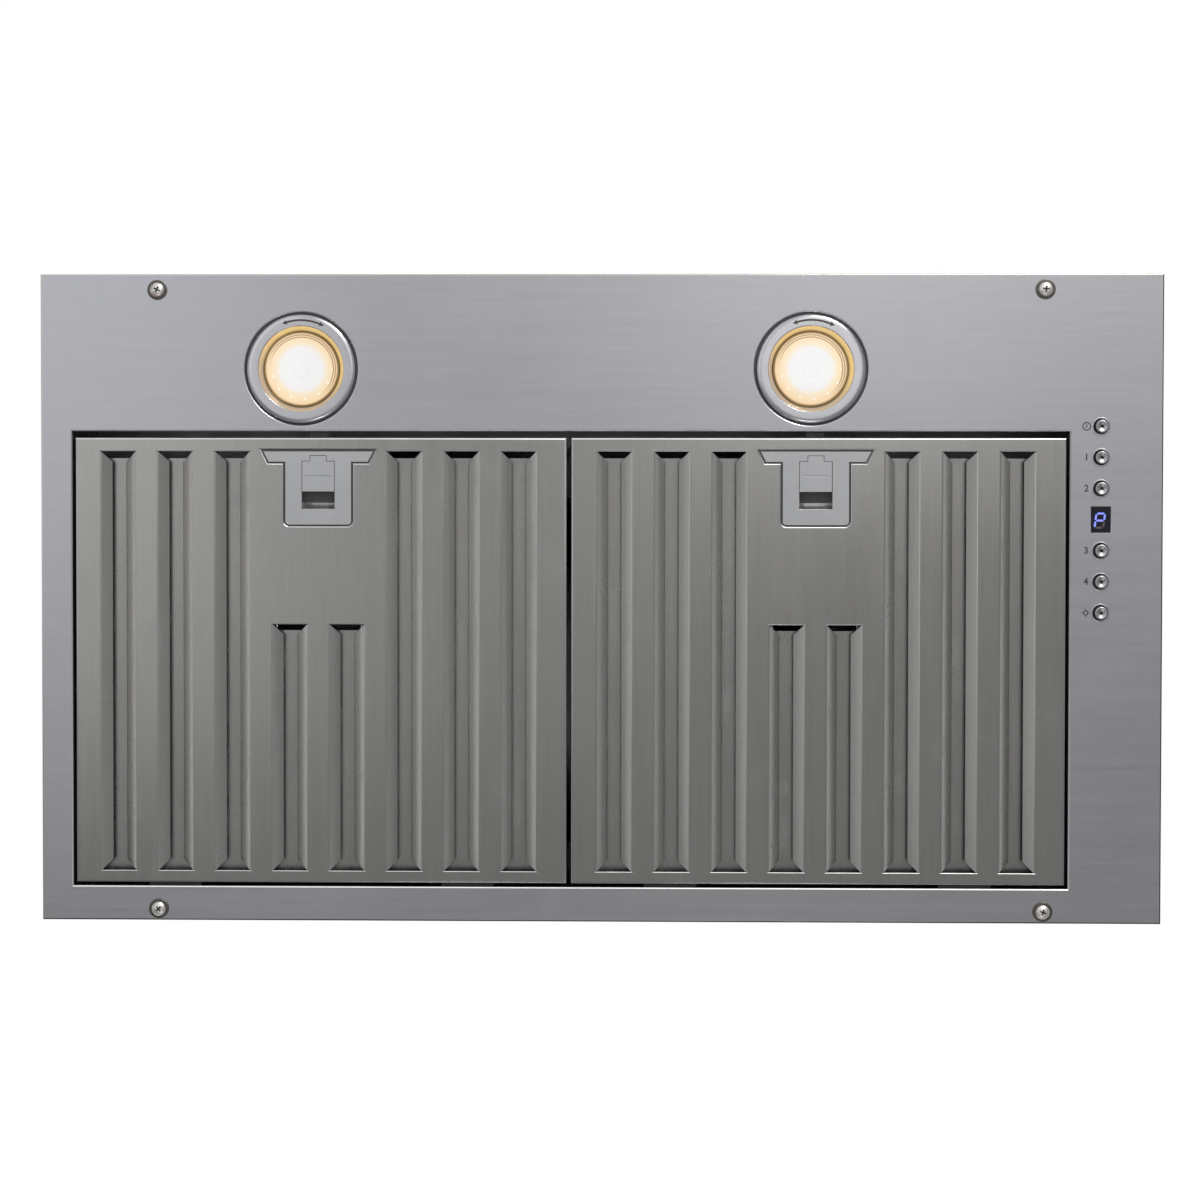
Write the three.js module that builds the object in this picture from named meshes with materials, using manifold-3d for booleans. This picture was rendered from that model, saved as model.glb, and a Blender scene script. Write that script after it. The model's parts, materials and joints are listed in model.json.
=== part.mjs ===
// Range hood insert, hung under a cabinet: face panel, two hinged baffle filters, two lamps,
// push buttons and display, plenum box, blower and duct collar.
// Millimetres. +Z is up, -Y is the front edge with the lamps, +X is the side with the buttons.
// Z = 0 is the seating plane: the top of the flange that rests against the cabinet.

import * as THREE from 'three';
import { mergeVertices } from 'three/addons/utils/BufferGeometryUtils.js';
import Module from 'manifold-3d';

const wasm = await Module();
wasm.setup();

// ---------------------------------------------------------------- driving sizes

// Face panel and its filter opening
const panelWidth = 724;
const panelDepth = 419;
const panelSheet = 1.2;
const openingLeft = 20.5; // margins from the panel's edges
const openingRight = 60;
const openingFront = 101.5;
const openingRear = 22.5;
const openingLip = 5; // turned-up lip on three sides of the opening

// Plenum box above the panel
const bodySheet = 1.2;
const frontFlange = 18;
const rearFlange = 13;
const sideFlange = 12.5;
const bodyHeight = 120;
const cornerFlange = 12; // inward flanges under the top plate, outward feet of the upper box
const rimGap = 0.3;

// Mounting screws
const screwInset = 76; // from the panel's side edges
const screwFront = 10.2; // from the front edge
const screwRear = 7.7; // from the rear edge
const screwRadius = 2;
const screwLength = 22;
const screwHeadRadius = 4.6;
const screwHeadHeight = 2.6;
const washerRadius = 6.4;
const washerSheet = 1;

// Filters
const filterSheet = 1;
const filterHeight = 13;
const filterRecess = 0.4; // filter face behind the panel face
const filterSideGap = 1.6;
const filterMiddleGap = 2.5;
const filterFrontGap = 4;
const filterRearGap = 2;
const slotPitch = 37.1;
const slotWidth = 22.6;
const slotFrontMargin = 9;
const slotRearMargin = 8;
const shortSlotStart = 121; // from the filter's front edge, beside and below the latch
const slotShift = -1.6; // slot field and latch, off the filter's middle
const lipRun = 7;
const lipRise = 5.5;
const floorHalf = 9.5; // half width of the rear baffle floor behind a slot
const floorDrop = 5; // height of the rear baffle's edges
const floorLag = 4.3; // rear floors start this far behind the slot's front end
const frontWindowHalf = 10.5; // half width of the air opening in front of a floor
const frontWindowLead = 3; // which starts this far before the slot
const ridgeLag = 12; // air openings between the floors, from the slot's front end
const ridgeStop = 5.5; // and before its rear end
const tabWidth = 34;
const tabReach = 5.6; // hinge tabs, past the panel's opening edge
const tabSpread = 190; // between the middles of a filter's two tabs

// Latch on each filter
const latchWidth = 42.5;
const latchLength = 47.3;
const latchCorner = 2.5;
const barHalf = 35.5; // crossbar of the T
const barDepth = 6.6;
const barBevel = 3.4;
const latchGap = 1;
const latchBacking = 1.4;
const latchHousing = 8.8;
const sliderWidth = 20.8;
const sliderStart = 6.4; // measured from the T's front edge
const sliderEnd = 25.9;
const sliderTabHalf = 5.1;
const sliderTabStart = 2.8;
const sliderPlate = 2.5;
const gripHalf = 8.2; // groove across the slider
const gripStart = 15.4;
const gripDepth = 0.8;
const recessEnd = 37.3;
const boltHalf = 6;
const boltSheet = 1.6;
const sliderTravel = 6;
const springWire = 0.6;
const springRadius = 1.5;
const springCurls = 5;

// Lamps
const lampSpacing = 329;
const lampShift = -8.7; // middle of the pair, off the opening's middle
const lampFront = 61.1; // centre, from the panel's front edge
const lampHole = 36.2;
const ringRadius = 35;
const ringInner = 27.5;
const ringProud = 1.4;
const sleeveRadius = 30.5;
const sleeveHeight = 11;
const cupRadius = 34;
const cupSheet = 1;
const cupFlange = 38.7;
const cupHeight = 62;
const ringTurn = 25; // degrees from locked to the gaps in the cup's ledge
const bulbRadius = 24.4;
const bulbFaceZ = 0.4;
const bulbHeight = 49;
const socketHeight = 12;
const pinRadius = 1.6;
const pinSpacing = 10;

// Buttons, display and control box
const buttonInset = 39.8; // column, from the panel's right edge
const buttonPitch = 20;
const displayFront = 158.1; // display's middle, from the panel's front edge
const buttonRadius = 4.2;
const buttonHole = 4.95;
const buttonProud = 4;
const buttonTravel = 1.5;
const buttonStem = 3.5;
const windowWidth = 11.8;
const windowLength = 16;
const windowSheet = 2;
const controlWidth = 34;
const controlLength = 148;
const controlHeight = 22;
const controlWall = 2;
const boardSheet = 1.6;
const switchHeight = 4;
const plungerLength = 2.7;

// Blower and its box
const boxWidth = 300;
const boxFront = -100;
const boxRear = 175;
const boxHeight = 128;
const wheelRadius = 80;
const wheelWidth = 112;
const wheelBlades = 24;
const bladeDepth = 14;
const bladeSheet = 1.2;
const bladeLean = 0.12; // radians, tip behind root
const scrollGap = 8; // wheel to cut-off
const scrollGrowth = 39;
const scrollWidth = 127;
const scrollSheet = 1.5;
const cutoffAngle = 20; // degrees before the top, measured at the wheel's axis
const blowerY = 65;
const blowerZ = 145;
const inletRadius = 62;
const motorRadius = 36;
const motorLength = 66;
const shaftRadius = 4;
const hubRadius = 13;
const hubLength = 16;
const spiderSheet = 3;

// Duct collar and damper
const collarRadius = 76;
const collarSheet = 1;
const collarHeight = 50;
const collarFlange = 84;
const damperRise = 9; // pin above the collar's foot
const damperPinRadius = 2;
const damperSheet = 1;
const damperGap = 2.5;

// Wiring box and capacitor on the plenum's top
const junctionWidth = 90;
const junctionDepth = 90;
const junctionHeight = 40;
const junctionX = -285;
const junctionY = -15;
const glandRadius = 11;
const glandBore = 6.5;
const glandLength = 20;
const capacitorRadius = 18;
const capacitorHeight = 58;
const capacitorX = -200;
const capacitorY = 110;

// Clearances
const seatGap = 0.3;
const fitGap = 0.3;

const snapGrid = 2e-4; // every corner lies on this grid
const mergeTolerance = 2e-3;

// ---------------------------------------------------------------- derived places

const panelInner = -bodySheet; // inner face of the panel's sheet, on which the body's flange lies
const panelFace = panelInner - panelSheet;
const rimInner = panelSheet + rimGap;
const bodyLeft = -panelWidth / 2 + rimInner + sideFlange;
const bodyRight = -bodyLeft;
const bodyFront = -panelDepth / 2 + rimInner + frontFlange;
const bodyRear = panelDepth / 2 - rimInner - rearFlange;

const opening = {
  left: -panelWidth / 2 + openingLeft,
  right: panelWidth / 2 - openingRight,
  front: -panelDepth / 2 + openingFront,
  rear: panelDepth / 2 - openingRear,
};
const openingMiddle = (opening.left + opening.right) / 2;
const lipTop = panelInner + openingLip;

const filterWidth = (opening.right - opening.left - 2 * filterSideGap - filterMiddleGap) / 2;
const filterDepth = opening.rear - opening.front - filterFrontGap - filterRearGap;
const filterFace = panelFace + filterRecess;
const filterY = opening.front + filterFrontGap + filterDepth / 2;
const filterPitch = filterWidth + filterMiddleGap;
const slotCount = 8;
const slotLength = filterDepth - slotFrontMargin - slotRearMargin;
const hingeY = opening.rear - 0.2;
const hingeZ = panelInner + 0.15;

const latchFront = -filterDepth / 2 + slotFrontMargin;
const boltLow = lipTop + 0.4;

const lampY = -panelDepth / 2 + lampFront;
const buttonX = panelWidth / 2 - buttonInset;
const displayY = -panelDepth / 2 + displayFront;

const boxFoot = bodyHeight + bodySheet;
const boxTop = boxFoot + boxHeight;
const lidTop = boxTop + bodySheet;
const scrollStart = wheelRadius + scrollGap;
const scrollEnd = scrollStart + scrollGrowth;
const throatFront = blowerY - scrollEnd;
const throatRear = blowerY - scrollStart * Math.sin(THREE.MathUtils.degToRad(cutoffAngle));
const collarY = (throatFront + throatRear) / 2;

// ---------------------------------------------------------------- solid helpers

// Drops everything but position, snaps it to a fine grid so that neighbours meet exactly,
// welds the corners and turns the faces outwards.
function toSolid(geometry) {
  const bare = geometry.clone();
  bare.deleteAttribute('normal');
  bare.deleteAttribute('uv');
  const values = bare.getAttribute('position').array;
  for (let i = 0; i < values.length; i += 1) {
    values[i] = Math.round(values[i] / snapGrid) * snapGrid;
  }
  const welded = mergeVertices(bare, snapGrid);
  const place = welded.getAttribute('position');
  const index = welded.getIndex().array;
  const a = new THREE.Vector3();
  const b = new THREE.Vector3();
  const c = new THREE.Vector3();
  const faces = [];
  let volume = 0;
  for (let i = 0; i < index.length; i += 3) {
    const [p, q, r] = [index[i], index[i + 1], index[i + 2]];
    if (p === q || q === r || r === p) continue;
    a.fromBufferAttribute(place, p);
    b.fromBufferAttribute(place, q);
    c.fromBufferAttribute(place, r);
    volume += a.dot(b.cross(c));
    faces.push(p, q, r);
  }
  if (volume < 0) faces.reverse();
  const mesh = new wasm.Mesh({
    numProp: 3,
    vertProperties: new Float32Array(place.array),
    triVerts: new Uint32Array(faces),
  });
  return new wasm.Manifold(mesh);
}

// Merges coplanar faces first, so that no stray corner is left along an edge.
function toGeometry(solid) {
  const mesh = solid.asOriginal().simplify(mergeTolerance).getMesh();
  const geometry = new THREE.BufferGeometry();
  geometry.setAttribute('position', new THREE.BufferAttribute(new Float32Array(mesh.vertProperties), 3));
  geometry.setIndex(new THREE.BufferAttribute(new Uint32Array(mesh.triVerts), 1));
  geometry.computeVertexNormals();
  return geometry;
}

function join(first, ...others) {
  return others.reduce((whole, other) => whole.add(other), first);
}

function cut(first, ...others) {
  return others.reduce((whole, other) => whole.subtract(other), first);
}

function block(x0, x1, y0, y1, z0, z1) {
  const geometry = new THREE.BoxGeometry(x1 - x0, y1 - y0, z1 - z0);
  geometry.translate((x0 + x1) / 2, (y0 + y1) / 2, (z0 + z1) / 2);
  return toSolid(geometry);
}

function outline(points) {
  return new THREE.Shape(points.map(([x, y]) => new THREE.Vector2(x, y)));
}

// Straight body over an outline, between two heights.
function prism(points, z0, z1) {
  const shape = new THREE.Shape(points);
  const geometry = new THREE.ExtrudeGeometry(shape, { depth: z1 - z0, bevelEnabled: false });
  geometry.translate(0, 0, z0);
  return toSolid(geometry);
}

// Flat plate from an outline with its holes.
function plate(shape, z0, z1, curveSegments = 6) {
  const { shape: rim, holes } = shape.extractPoints(curveSegments);
  return cut(prism(rim, z0, z1), ...holes.map((hole) => prism(hole, z0 - 1, z1 + 1)));
}

function rectangle(x0, x1, y0, y1) {
  return outline([[x0, y0], [x1, y0], [x1, y1], [x0, y1]]);
}

function disc(radius, x = 0, y = 0, sides = 16) {
  const points = [];
  for (let i = 0; i < sides; i += 1) {
    const turn = (2 * Math.PI * (i + 0.5)) / sides;
    points.push([x + radius * Math.cos(turn), y + radius * Math.sin(turn)]);
  }
  return outline(points);
}

function rod(radius, z0, z1, x = 0, y = 0, sides = 16) {
  return plate(disc(radius, x, y, sides), z0, z1);
}

function tube(outer, inner, z0, z1, sides = 24) {
  const ring = disc(outer, 0, 0, sides);
  ring.holes.push(disc(inner, 0, 0, sides));
  return plate(ring, z0, z1);
}

// Turned body about Z from a profile of [radius, height] pairs. A profile off the axis is closed.
function turned(profile, segments) {
  const points = profile.map(([r, z]) => new THREE.Vector2(r, z));
  if (profile[0][0] > 0) points.push(points[0].clone());
  const geometry = new THREE.LatheGeometry(points, segments);
  geometry.rotateX(Math.PI / 2);
  return toSolid(geometry);
}

// Lays a body made about Z along X: its X runs along Y and its Y along Z.
function alongX(solid) {
  const geometry = toGeometry(solid);
  const toX = new THREE.Matrix4().makeBasis(
    new THREE.Vector3(0, 1, 0),
    new THREE.Vector3(0, 0, 1),
    new THREE.Vector3(1, 0, 0),
  );
  geometry.applyMatrix4(toX);
  return toSolid(geometry);
}

// ---------------------------------------------------------------- finishes

function finish(color, metalness, roughness) {
  return new THREE.MeshStandardMaterial({ color, metalness, roughness });
}

const finishes = {
  faceSteel: finish(0xb4b4ba, 1, 0.35),
  filterSteel: finish(0x9b9993, 1, 0.3),
  galvanised: finish(0xa9adb0, 1, 0.5),
  nickel: finish(0xb9b4aa, 1, 0.25),
  latchGrey: finish(0xa9abad, 0.4, 0.45),
  springSteel: finish(0x8e8e8e, 1, 0.3),
  satinRing: finish(0xb6b6bb, 1, 0.35),
  blackCup: finish(0x2a2a2c, 0.2, 0.7),
  bulb: finish(0xffe2b0, 0, 0.3),
  ceramic: finish(0xe8e4da, 0, 0.6),
  chrome: finish(0xd4d4d6, 1, 0.12),
  blackWindow: finish(0x0a0b10, 0, 0.15),
  blackPlastic: finish(0x232325, 0, 0.55),
  board: finish(0x1e5a34, 0, 0.5),
  wheelSteel: finish(0xb0b3b5, 1, 0.45),
  motorGrey: finish(0x6d7073, 0.6, 0.5),
  shaftSteel: finish(0xc0c0c0, 1, 0.25),
  capacitorGrey: finish(0xc9ccce, 0.6, 0.4),
  glandGrey: finish(0x4a4c50, 0, 0.5),
};

const hood = new THREE.Group();

function piece(parent, name, solid, material) {
  const mesh = new THREE.Mesh(toGeometry(solid), material.clone());
  mesh.name = name;
  parent.add(mesh);
  return mesh;
}

// ---------------------------------------------------------------- face panel

const screwPlaces = [
  ['front_left', -panelWidth / 2 + screwInset, -panelDepth / 2 + screwFront],
  ['front_right', panelWidth / 2 - screwInset, -panelDepth / 2 + screwFront],
  ['rear_left', -panelWidth / 2 + screwInset, panelDepth / 2 - screwRear],
  ['rear_right', panelWidth / 2 - screwInset, panelDepth / 2 - screwRear],
];

const lampPlaces = [
  ['left', openingMiddle + lampShift - lampSpacing / 2],
  ['right', openingMiddle + lampShift + lampSpacing / 2],
];

// Name and place along the column, in steps from the display.
const buttonPlaces = [
  ['power', -3],
  ['speed_1', -2],
  ['speed_2', -1],
  ['speed_3', 1],
  ['speed_4', 2],
  ['lamp', 3],
];

function facePanel() {
  const halfWidth = panelWidth / 2;
  const halfDepth = panelDepth / 2;
  const sheet = rectangle(-halfWidth, halfWidth, -halfDepth, halfDepth);
  sheet.holes.push(rectangle(opening.left, opening.right, opening.front, opening.rear));
  for (const [, x] of lampPlaces) sheet.holes.push(disc(lampHole, x, lampY, 28));
  for (const [, step] of buttonPlaces) {
    sheet.holes.push(disc(buttonHole, buttonX, displayY + step * buttonPitch, 12));
  }
  for (const [, x, y] of screwPlaces) sheet.holes.push(disc(screwRadius + fitGap, x, y, 8));
  sheet.holes.push(rectangle(
    buttonX - windowWidth / 2 - fitGap,
    buttonX + windowWidth / 2 + fitGap,
    displayY - windowLength / 2 - fitGap,
    displayY + windowLength / 2 + fitGap,
  ));
  const rim = rectangle(-halfWidth, halfWidth, -halfDepth, halfDepth);
  rim.holes.push(rectangle(
    -halfWidth + panelSheet,
    halfWidth - panelSheet,
    -halfDepth + panelSheet,
    halfDepth - panelSheet,
  ));
  const { left, right, front, rear } = opening;
  const lips = [
    block(left - panelSheet, left, front - panelSheet, rear, panelFace, lipTop),
    block(right, right + panelSheet, front - panelSheet, rear, panelFace, lipTop),
    block(left - panelSheet, right + panelSheet, front - panelSheet, front, panelFace, lipTop),
  ];
  return join(plate(sheet, panelFace, panelInner), plate(rim, panelFace, 0), ...lips);
}

// Pan head with a cross recess, washer under it and the shank up through panel and flange.
function mountingScrew() {
  const under = panelFace - washerSheet;
  const headLow = under - screwHeadHeight;
  const body = turned([
    [0, headLow],
    [screwHeadRadius * 0.55, headLow + screwHeadHeight * 0.08],
    [screwHeadRadius * 0.9, headLow + screwHeadHeight * 0.45],
    [screwHeadRadius, under],
    [washerRadius, under],
    [washerRadius, panelFace],
    [screwRadius, panelFace],
    [screwRadius, screwLength - screwRadius],
    [0, screwLength],
  ], 12);
  const arm = screwHeadRadius * 0.55;
  const slit = screwHeadRadius * 0.12;
  const depth = headLow + screwHeadHeight * 0.6;
  return cut(
    body,
    block(-arm, arm, -slit, slit, headLow - 1, depth),
    block(-slit, slit, -arm, arm, headLow - 1, depth),
  );
}

piece(hood, 'face_panel', facePanel(), finishes.faceSteel);
for (const [place, x, y] of screwPlaces) {
  piece(hood, `screw_${place}`, mountingScrew(), finishes.nickel).position.set(x, y, 0);
}

// ---------------------------------------------------------------- plenum box

const flangeFront = bodyFront - frontFlange;
const flangeRear = bodyRear + rearFlange;
const flangeLeft = bodyLeft - sideFlange;

function flangeHoles() {
  return screwPlaces.map(([, x, y]) => rod(screwRadius + fitGap, -bodySheet - 1, 1, x, y, 8));
}

// Front or rear wall: outward flange on the panel, wall, inward flange under the top plate.
function endWall(outer, inward, flangeEdge) {
  const inner = outer + inward * bodySheet;
  const low = Math.min(outer, inner);
  const high = Math.max(outer, inner);
  const topEdge = outer + inward * cornerFlange;
  const wall = block(bodyLeft, bodyRight, low, high, -bodySheet, bodyHeight);
  const foot = block(
    flangeLeft,
    -flangeLeft,
    Math.min(flangeEdge, inner),
    Math.max(flangeEdge, inner),
    -bodySheet,
    0,
  );
  const head = block(
    bodyLeft + bodySheet,
    bodyRight - bodySheet,
    Math.min(outer, topEdge),
    Math.max(outer, topEdge),
    bodyHeight - bodySheet,
    bodyHeight,
  );
  return cut(join(wall, foot, head), ...flangeHoles());
}

// Side wall between the end walls, for the left side. The right side is its mirror image.
function sideWall(side) {
  const y0 = bodyFront + bodySheet;
  const y1 = bodyRear - bodySheet;
  const span = (x0, x1, front, rear, z0, z1) => block(
    Math.min(side * x0, side * x1),
    Math.max(side * x0, side * x1),
    front,
    rear,
    z0,
    z1,
  );
  const inner = bodyRight - bodySheet;
  return join(
    span(inner, bodyRight, y0, y1, -bodySheet, bodyHeight),
    span(inner, -flangeLeft, y0, y1, -bodySheet, 0),
    span(
      bodyRight - cornerFlange,
      bodyRight,
      bodyFront + cornerFlange + fitGap,
      bodyRear - cornerFlange - fitGap,
      bodyHeight - bodySheet,
      bodyHeight,
    ),
  );
}

const boxInner = {
  left: -boxWidth / 2 + bodySheet,
  right: boxWidth / 2 - bodySheet,
  front: boxFront + bodySheet,
  rear: boxRear - bodySheet,
};

function topPlate() {
  const sheet = rectangle(bodyLeft, bodyRight, bodyFront, bodyRear);
  sheet.holes.push(rectangle(boxInner.left, boxInner.right, boxInner.front, boxInner.rear));
  sheet.holes.push(disc(glandBore, junctionX, junctionY, 12));
  return plate(sheet, bodyHeight, boxFoot);
}

piece(hood, 'front_wall', endWall(bodyFront, 1, flangeFront), finishes.galvanised);
piece(hood, 'rear_wall', endWall(bodyRear, -1, flangeRear), finishes.galvanised);
piece(hood, 'left_wall', sideWall(-1), finishes.galvanised);
piece(hood, 'right_wall', sideWall(1), finishes.galvanised);
piece(hood, 'top_plate', topPlate(), finishes.galvanised);

// ---------------------------------------------------------------- blower box

// Front and both sides in one folded sheet, with feet on the top plate.
function blowerBoxFront() {
  const half = boxWidth / 2;
  const inner = half - bodySheet;
  const walls = outline([
    [-half, boxFront],
    [half, boxFront],
    [half, boxInner.rear],
    [inner, boxInner.rear],
    [inner, boxInner.front],
    [-inner, boxInner.front],
    [-inner, boxInner.rear],
    [-half, boxInner.rear],
  ]);
  const reach = half + cornerFlange;
  const foot = outline([
    [-reach, boxFront - cornerFlange],
    [reach, boxFront - cornerFlange],
    [reach, boxInner.rear],
    [inner, boxInner.rear],
    [inner, boxInner.front],
    [-inner, boxInner.front],
    [-inner, boxInner.rear],
    [-reach, boxInner.rear],
  ]);
  return join(plate(walls, boxFoot, boxTop), plate(foot, boxFoot, boxFoot + bodySheet));
}

function blowerBoxRear() {
  const half = boxWidth / 2;
  return join(
    block(-half, half, boxInner.rear, boxRear, boxFoot, boxTop),
    block(-half, half, boxInner.rear, boxRear + cornerFlange, boxFoot, boxFoot + bodySheet),
  );
}

// Shoe-box lid with turned-down edges and the duct opening.
function blowerBoxLid() {
  const half = boxWidth / 2 + fitGap;
  const front = boxFront - fitGap;
  const rear = boxRear + fitGap;
  const sheet = rectangle(-half - bodySheet, half + bodySheet, front - bodySheet, rear + bodySheet);
  const skirt = rectangle(-half - bodySheet, half + bodySheet, front - bodySheet, rear + bodySheet);
  sheet.holes.push(disc(collarRadius - collarSheet, 0, collarY, 32));
  skirt.holes.push(rectangle(-half, half, front, rear));
  return join(plate(sheet, boxTop, lidTop), plate(skirt, boxTop - cornerFlange, lidTop));
}

piece(hood, 'blower_box_front', blowerBoxFront(), finishes.galvanised);
piece(hood, 'blower_box_rear', blowerBoxRear(), finishes.galvanised);
piece(hood, 'blower_box_lid', blowerBoxLid(), finishes.galvanised);

// ---------------------------------------------------------------- duct collar and damper

const damper = new THREE.Group();
damper.position.set(0, collarY, lidTop);
hood.add(damper);

const flapRadius = collarRadius - collarSheet - damperGap;
const knuckle = damperPinRadius + fitGap + 1.2;
const flapEdge = knuckle + 0.6;

function ductCollar() {
  const inner = collarRadius - collarSheet;
  const bead = collarHeight / 2;
  const shell = turned([
    [inner, 0],
    [collarFlange, 0],
    [collarFlange, bodySheet],
    [collarRadius, bodySheet],
    [collarRadius, bead - 3],
    [collarRadius + 2, bead],
    [collarRadius, bead + 3],
    [collarRadius, collarHeight],
    [inner, collarHeight],
  ], 32);
  const stopTop = damperRise - damperSheet / 2 - seatGap;
  const stops = [1, -1].map((side) => {
    const ends = [side * (inner - damperGap - 4), side * (inner + collarSheet / 2)];
    return block(-5, 5, Math.min(...ends), Math.max(...ends), stopTop - 1.2, stopTop);
  });
  return join(shell, ...stops);
}

// Half disc that lies flat when shut, with its knuckles on the pin. side is -1 in front, 1 behind.
function damperFlap(side) {
  const points = [];
  const first = Math.asin(flapEdge / flapRadius);
  const steps = 12;
  for (let i = 0; i <= steps; i += 1) {
    const turn = first + ((Math.PI - 2 * first) * i) / steps;
    points.push([flapRadius * Math.cos(turn), side * flapRadius * Math.sin(turn)]);
  }
  const middle = damperRise;
  const leaf = plate(outline(points), middle - damperSheet / 2, middle + damperSheet / 2);
  const knuckleLength = 9;
  const firstKnuckle = side < 0 ? 14 : 26;
  const knuckles = [firstKnuckle, -firstKnuckle - knuckleLength].map((x) => {
    const barrel = alongX(tube(knuckle, damperPinRadius + fitGap, x, x + knuckleLength, 10));
    const y0 = Math.min(side * (knuckle - 0.6), side * (flapEdge + 2));
    const y1 = Math.max(side * (knuckle - 0.6), side * (flapEdge + 2));
    const web = block(x, x + knuckleLength, y0, y1, middle - damperSheet / 2, middle + damperSheet / 2);
    return join(barrel.translate([0, 0, middle]), web);
  });
  return join(leaf, ...knuckles);
}

const pinEnd = collarRadius - collarSheet - seatGap;
const damperPin = alongX(rod(damperPinRadius, -pinEnd, pinEnd, 0, 0, 10)).translate([0, 0, damperRise]);

piece(damper, 'duct_collar', ductCollar(), finishes.galvanised);
piece(damper, 'damper_pin', damperPin, finishes.shaftSteel);
piece(damper, 'damper_flap_front', damperFlap(-1), finishes.wheelSteel);
piece(damper, 'damper_flap_rear', damperFlap(1), finishes.wheelSteel);

// ---------------------------------------------------------------- blower

const blower = new THREE.Group();
blower.position.set(0, blowerY, blowerZ);
hood.add(blower);

// Spiral from the cut-off over the top, down the rear, along the bottom and up the front.
// Places are [along Y, along Z] from the wheel's axis.
function spiral(offset, steps) {
  const first = -THREE.MathUtils.degToRad(cutoffAngle);
  const last = 1.5 * Math.PI;
  const points = [];
  for (let i = 0; i <= steps; i += 1) {
    const turn = first + ((last - first) * i) / steps;
    const radius = scrollStart + (scrollGrowth * (turn - first)) / (last - first) + offset;
    points.push([radius * Math.sin(turn), radius * Math.cos(turn)]);
  }
  return points;
}

const scrollTop = boxTop - seatGap - blowerZ;
const scrollSteps = 26;

function scrollOuter() {
  const points = spiral(scrollSheet, scrollSteps);
  points[0] = [throatRear - blowerY + scrollSheet, points[0][1]];
  return [[throatRear - blowerY + scrollSheet, scrollTop], ...points, [-scrollEnd - scrollSheet, scrollTop]];
}

function scrollWrap() {
  const inner = [
    [throatRear - blowerY, scrollTop],
    ...spiral(0, scrollSteps),
    [-scrollEnd, scrollTop],
  ];
  const half = scrollWidth / 2 - scrollSheet - seatGap;
  return alongX(plate(outline([...scrollOuter(), ...inner.reverse()]), -half, half));
}

// Side of the scroll with its inlet and the inward rim around it. side is -1 left, 1 right.
function scrollSide(side) {
  const shape = outline(scrollOuter());
  shape.holes.push(disc(inletRadius, 0, 0, 28));
  const outer = scrollWidth / 2;
  const inner = outer - scrollSheet;
  const rimEnd = inner - 4;
  const face = side < 0 ? plate(shape, -outer, -inner) : plate(shape, inner, outer);
  const rim = side < 0
    ? tube(inletRadius + scrollSheet, inletRadius, -outer, -rimEnd, 28)
    : tube(inletRadius + scrollSheet, inletRadius, rimEnd, outer, 28);
  return alongX(join(face, rim));
}

// Double-inlet squirrel cage: hub and middle disc, leaning blades and two end rings.
function blowerWheel() {
  const half = wheelWidth / 2;
  const inner = wheelRadius - bladeDepth;
  const bore = shaftRadius + fitGap;
  const parts = [
    tube(wheelRadius, bore, -0.8, 0.8, wheelBlades),
    tube(hubRadius, bore, -hubLength / 2, hubLength / 2, 12),
    tube(wheelRadius + 1, wheelRadius - 6, half - 3, half, wheelBlades),
    tube(wheelRadius + 1, wheelRadius - 6, -half, -half + 3, wheelBlades),
  ];
  for (let i = 0; i < wheelBlades; i += 1) {
    const turn = (2 * Math.PI * i) / wheelBlades;
    const at = (radius, lead) => [radius * Math.cos(turn + lead), radius * Math.sin(turn + lead)];
    const thin = bladeSheet / wheelRadius;
    parts.push(plate(outline([
      at(inner, 0),
      at(wheelRadius - 0.5, -bladeLean),
      at(wheelRadius - 0.5, thin - bladeLean),
      at(inner, thin),
    ]), -half + 0.5, half - 0.5));
  }
  return alongX(join(...parts));
}

const motorStart = hubLength / 2 + 3;
const motorEnd = motorStart + motorLength;
const shaftIn = 20; // length of the shaft inside the motor
const spiderRadius = inletRadius + 14;

function motorBody() {
  const bore = shaftRadius + fitGap;
  return alongX(turned([
    [bore, motorStart],
    [14, motorStart],
    [16, motorStart + 4],
    [motorRadius - 4, motorStart + 8],
    [motorRadius, motorStart + 13],
    [motorRadius, motorEnd - 13],
    [motorRadius - 4, motorEnd - 8],
    [15, motorEnd - 4],
    [14, motorEnd],
    [0, motorEnd],
    [0, motorStart + shaftIn + fitGap],
    [bore, motorStart + shaftIn + fitGap],
  ].reverse(), 18));
}

// Three-armed bracket that carries the motor on the scroll's right side.
function motorBracket() {
  const outer = scrollWidth / 2 + seatGap;
  const hole = motorRadius + fitGap;
  const parts = [tube(hole + 6, hole, outer, outer + spiderSheet, 24)];
  for (let i = 0; i < 3; i += 1) {
    const turn = Math.PI / 2 + (2 * Math.PI * i) / 3;
    const arm = block(hole + 3, spiderRadius, -7, 7, outer, outer + spiderSheet);
    parts.push(arm.rotate([0, 0, THREE.MathUtils.radToDeg(turn)]));
  }
  return alongX(join(...parts));
}

function motorShaft() {
  return alongX(rod(shaftRadius, -hubLength / 2 - 4, motorStart + shaftIn, 0, 0, 12));
}

piece(blower, 'scroll_wrap', scrollWrap(), finishes.galvanised);
piece(blower, 'scroll_side_left', scrollSide(-1), finishes.galvanised);
piece(blower, 'scroll_side_right', scrollSide(1), finishes.galvanised);
piece(blower, 'blower_wheel', blowerWheel(), finishes.wheelSteel);
piece(blower, 'motor_shaft', motorShaft(), finishes.shaftSteel);
piece(blower, 'motor_body', motorBody(), finishes.motorGrey);
piece(blower, 'motor_bracket', motorBracket(), finishes.galvanised);

// ---------------------------------------------------------------- wiring box and capacitor

const wiring = new THREE.Group();
wiring.position.set(junctionX, junctionY, 0);
hood.add(wiring);

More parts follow.
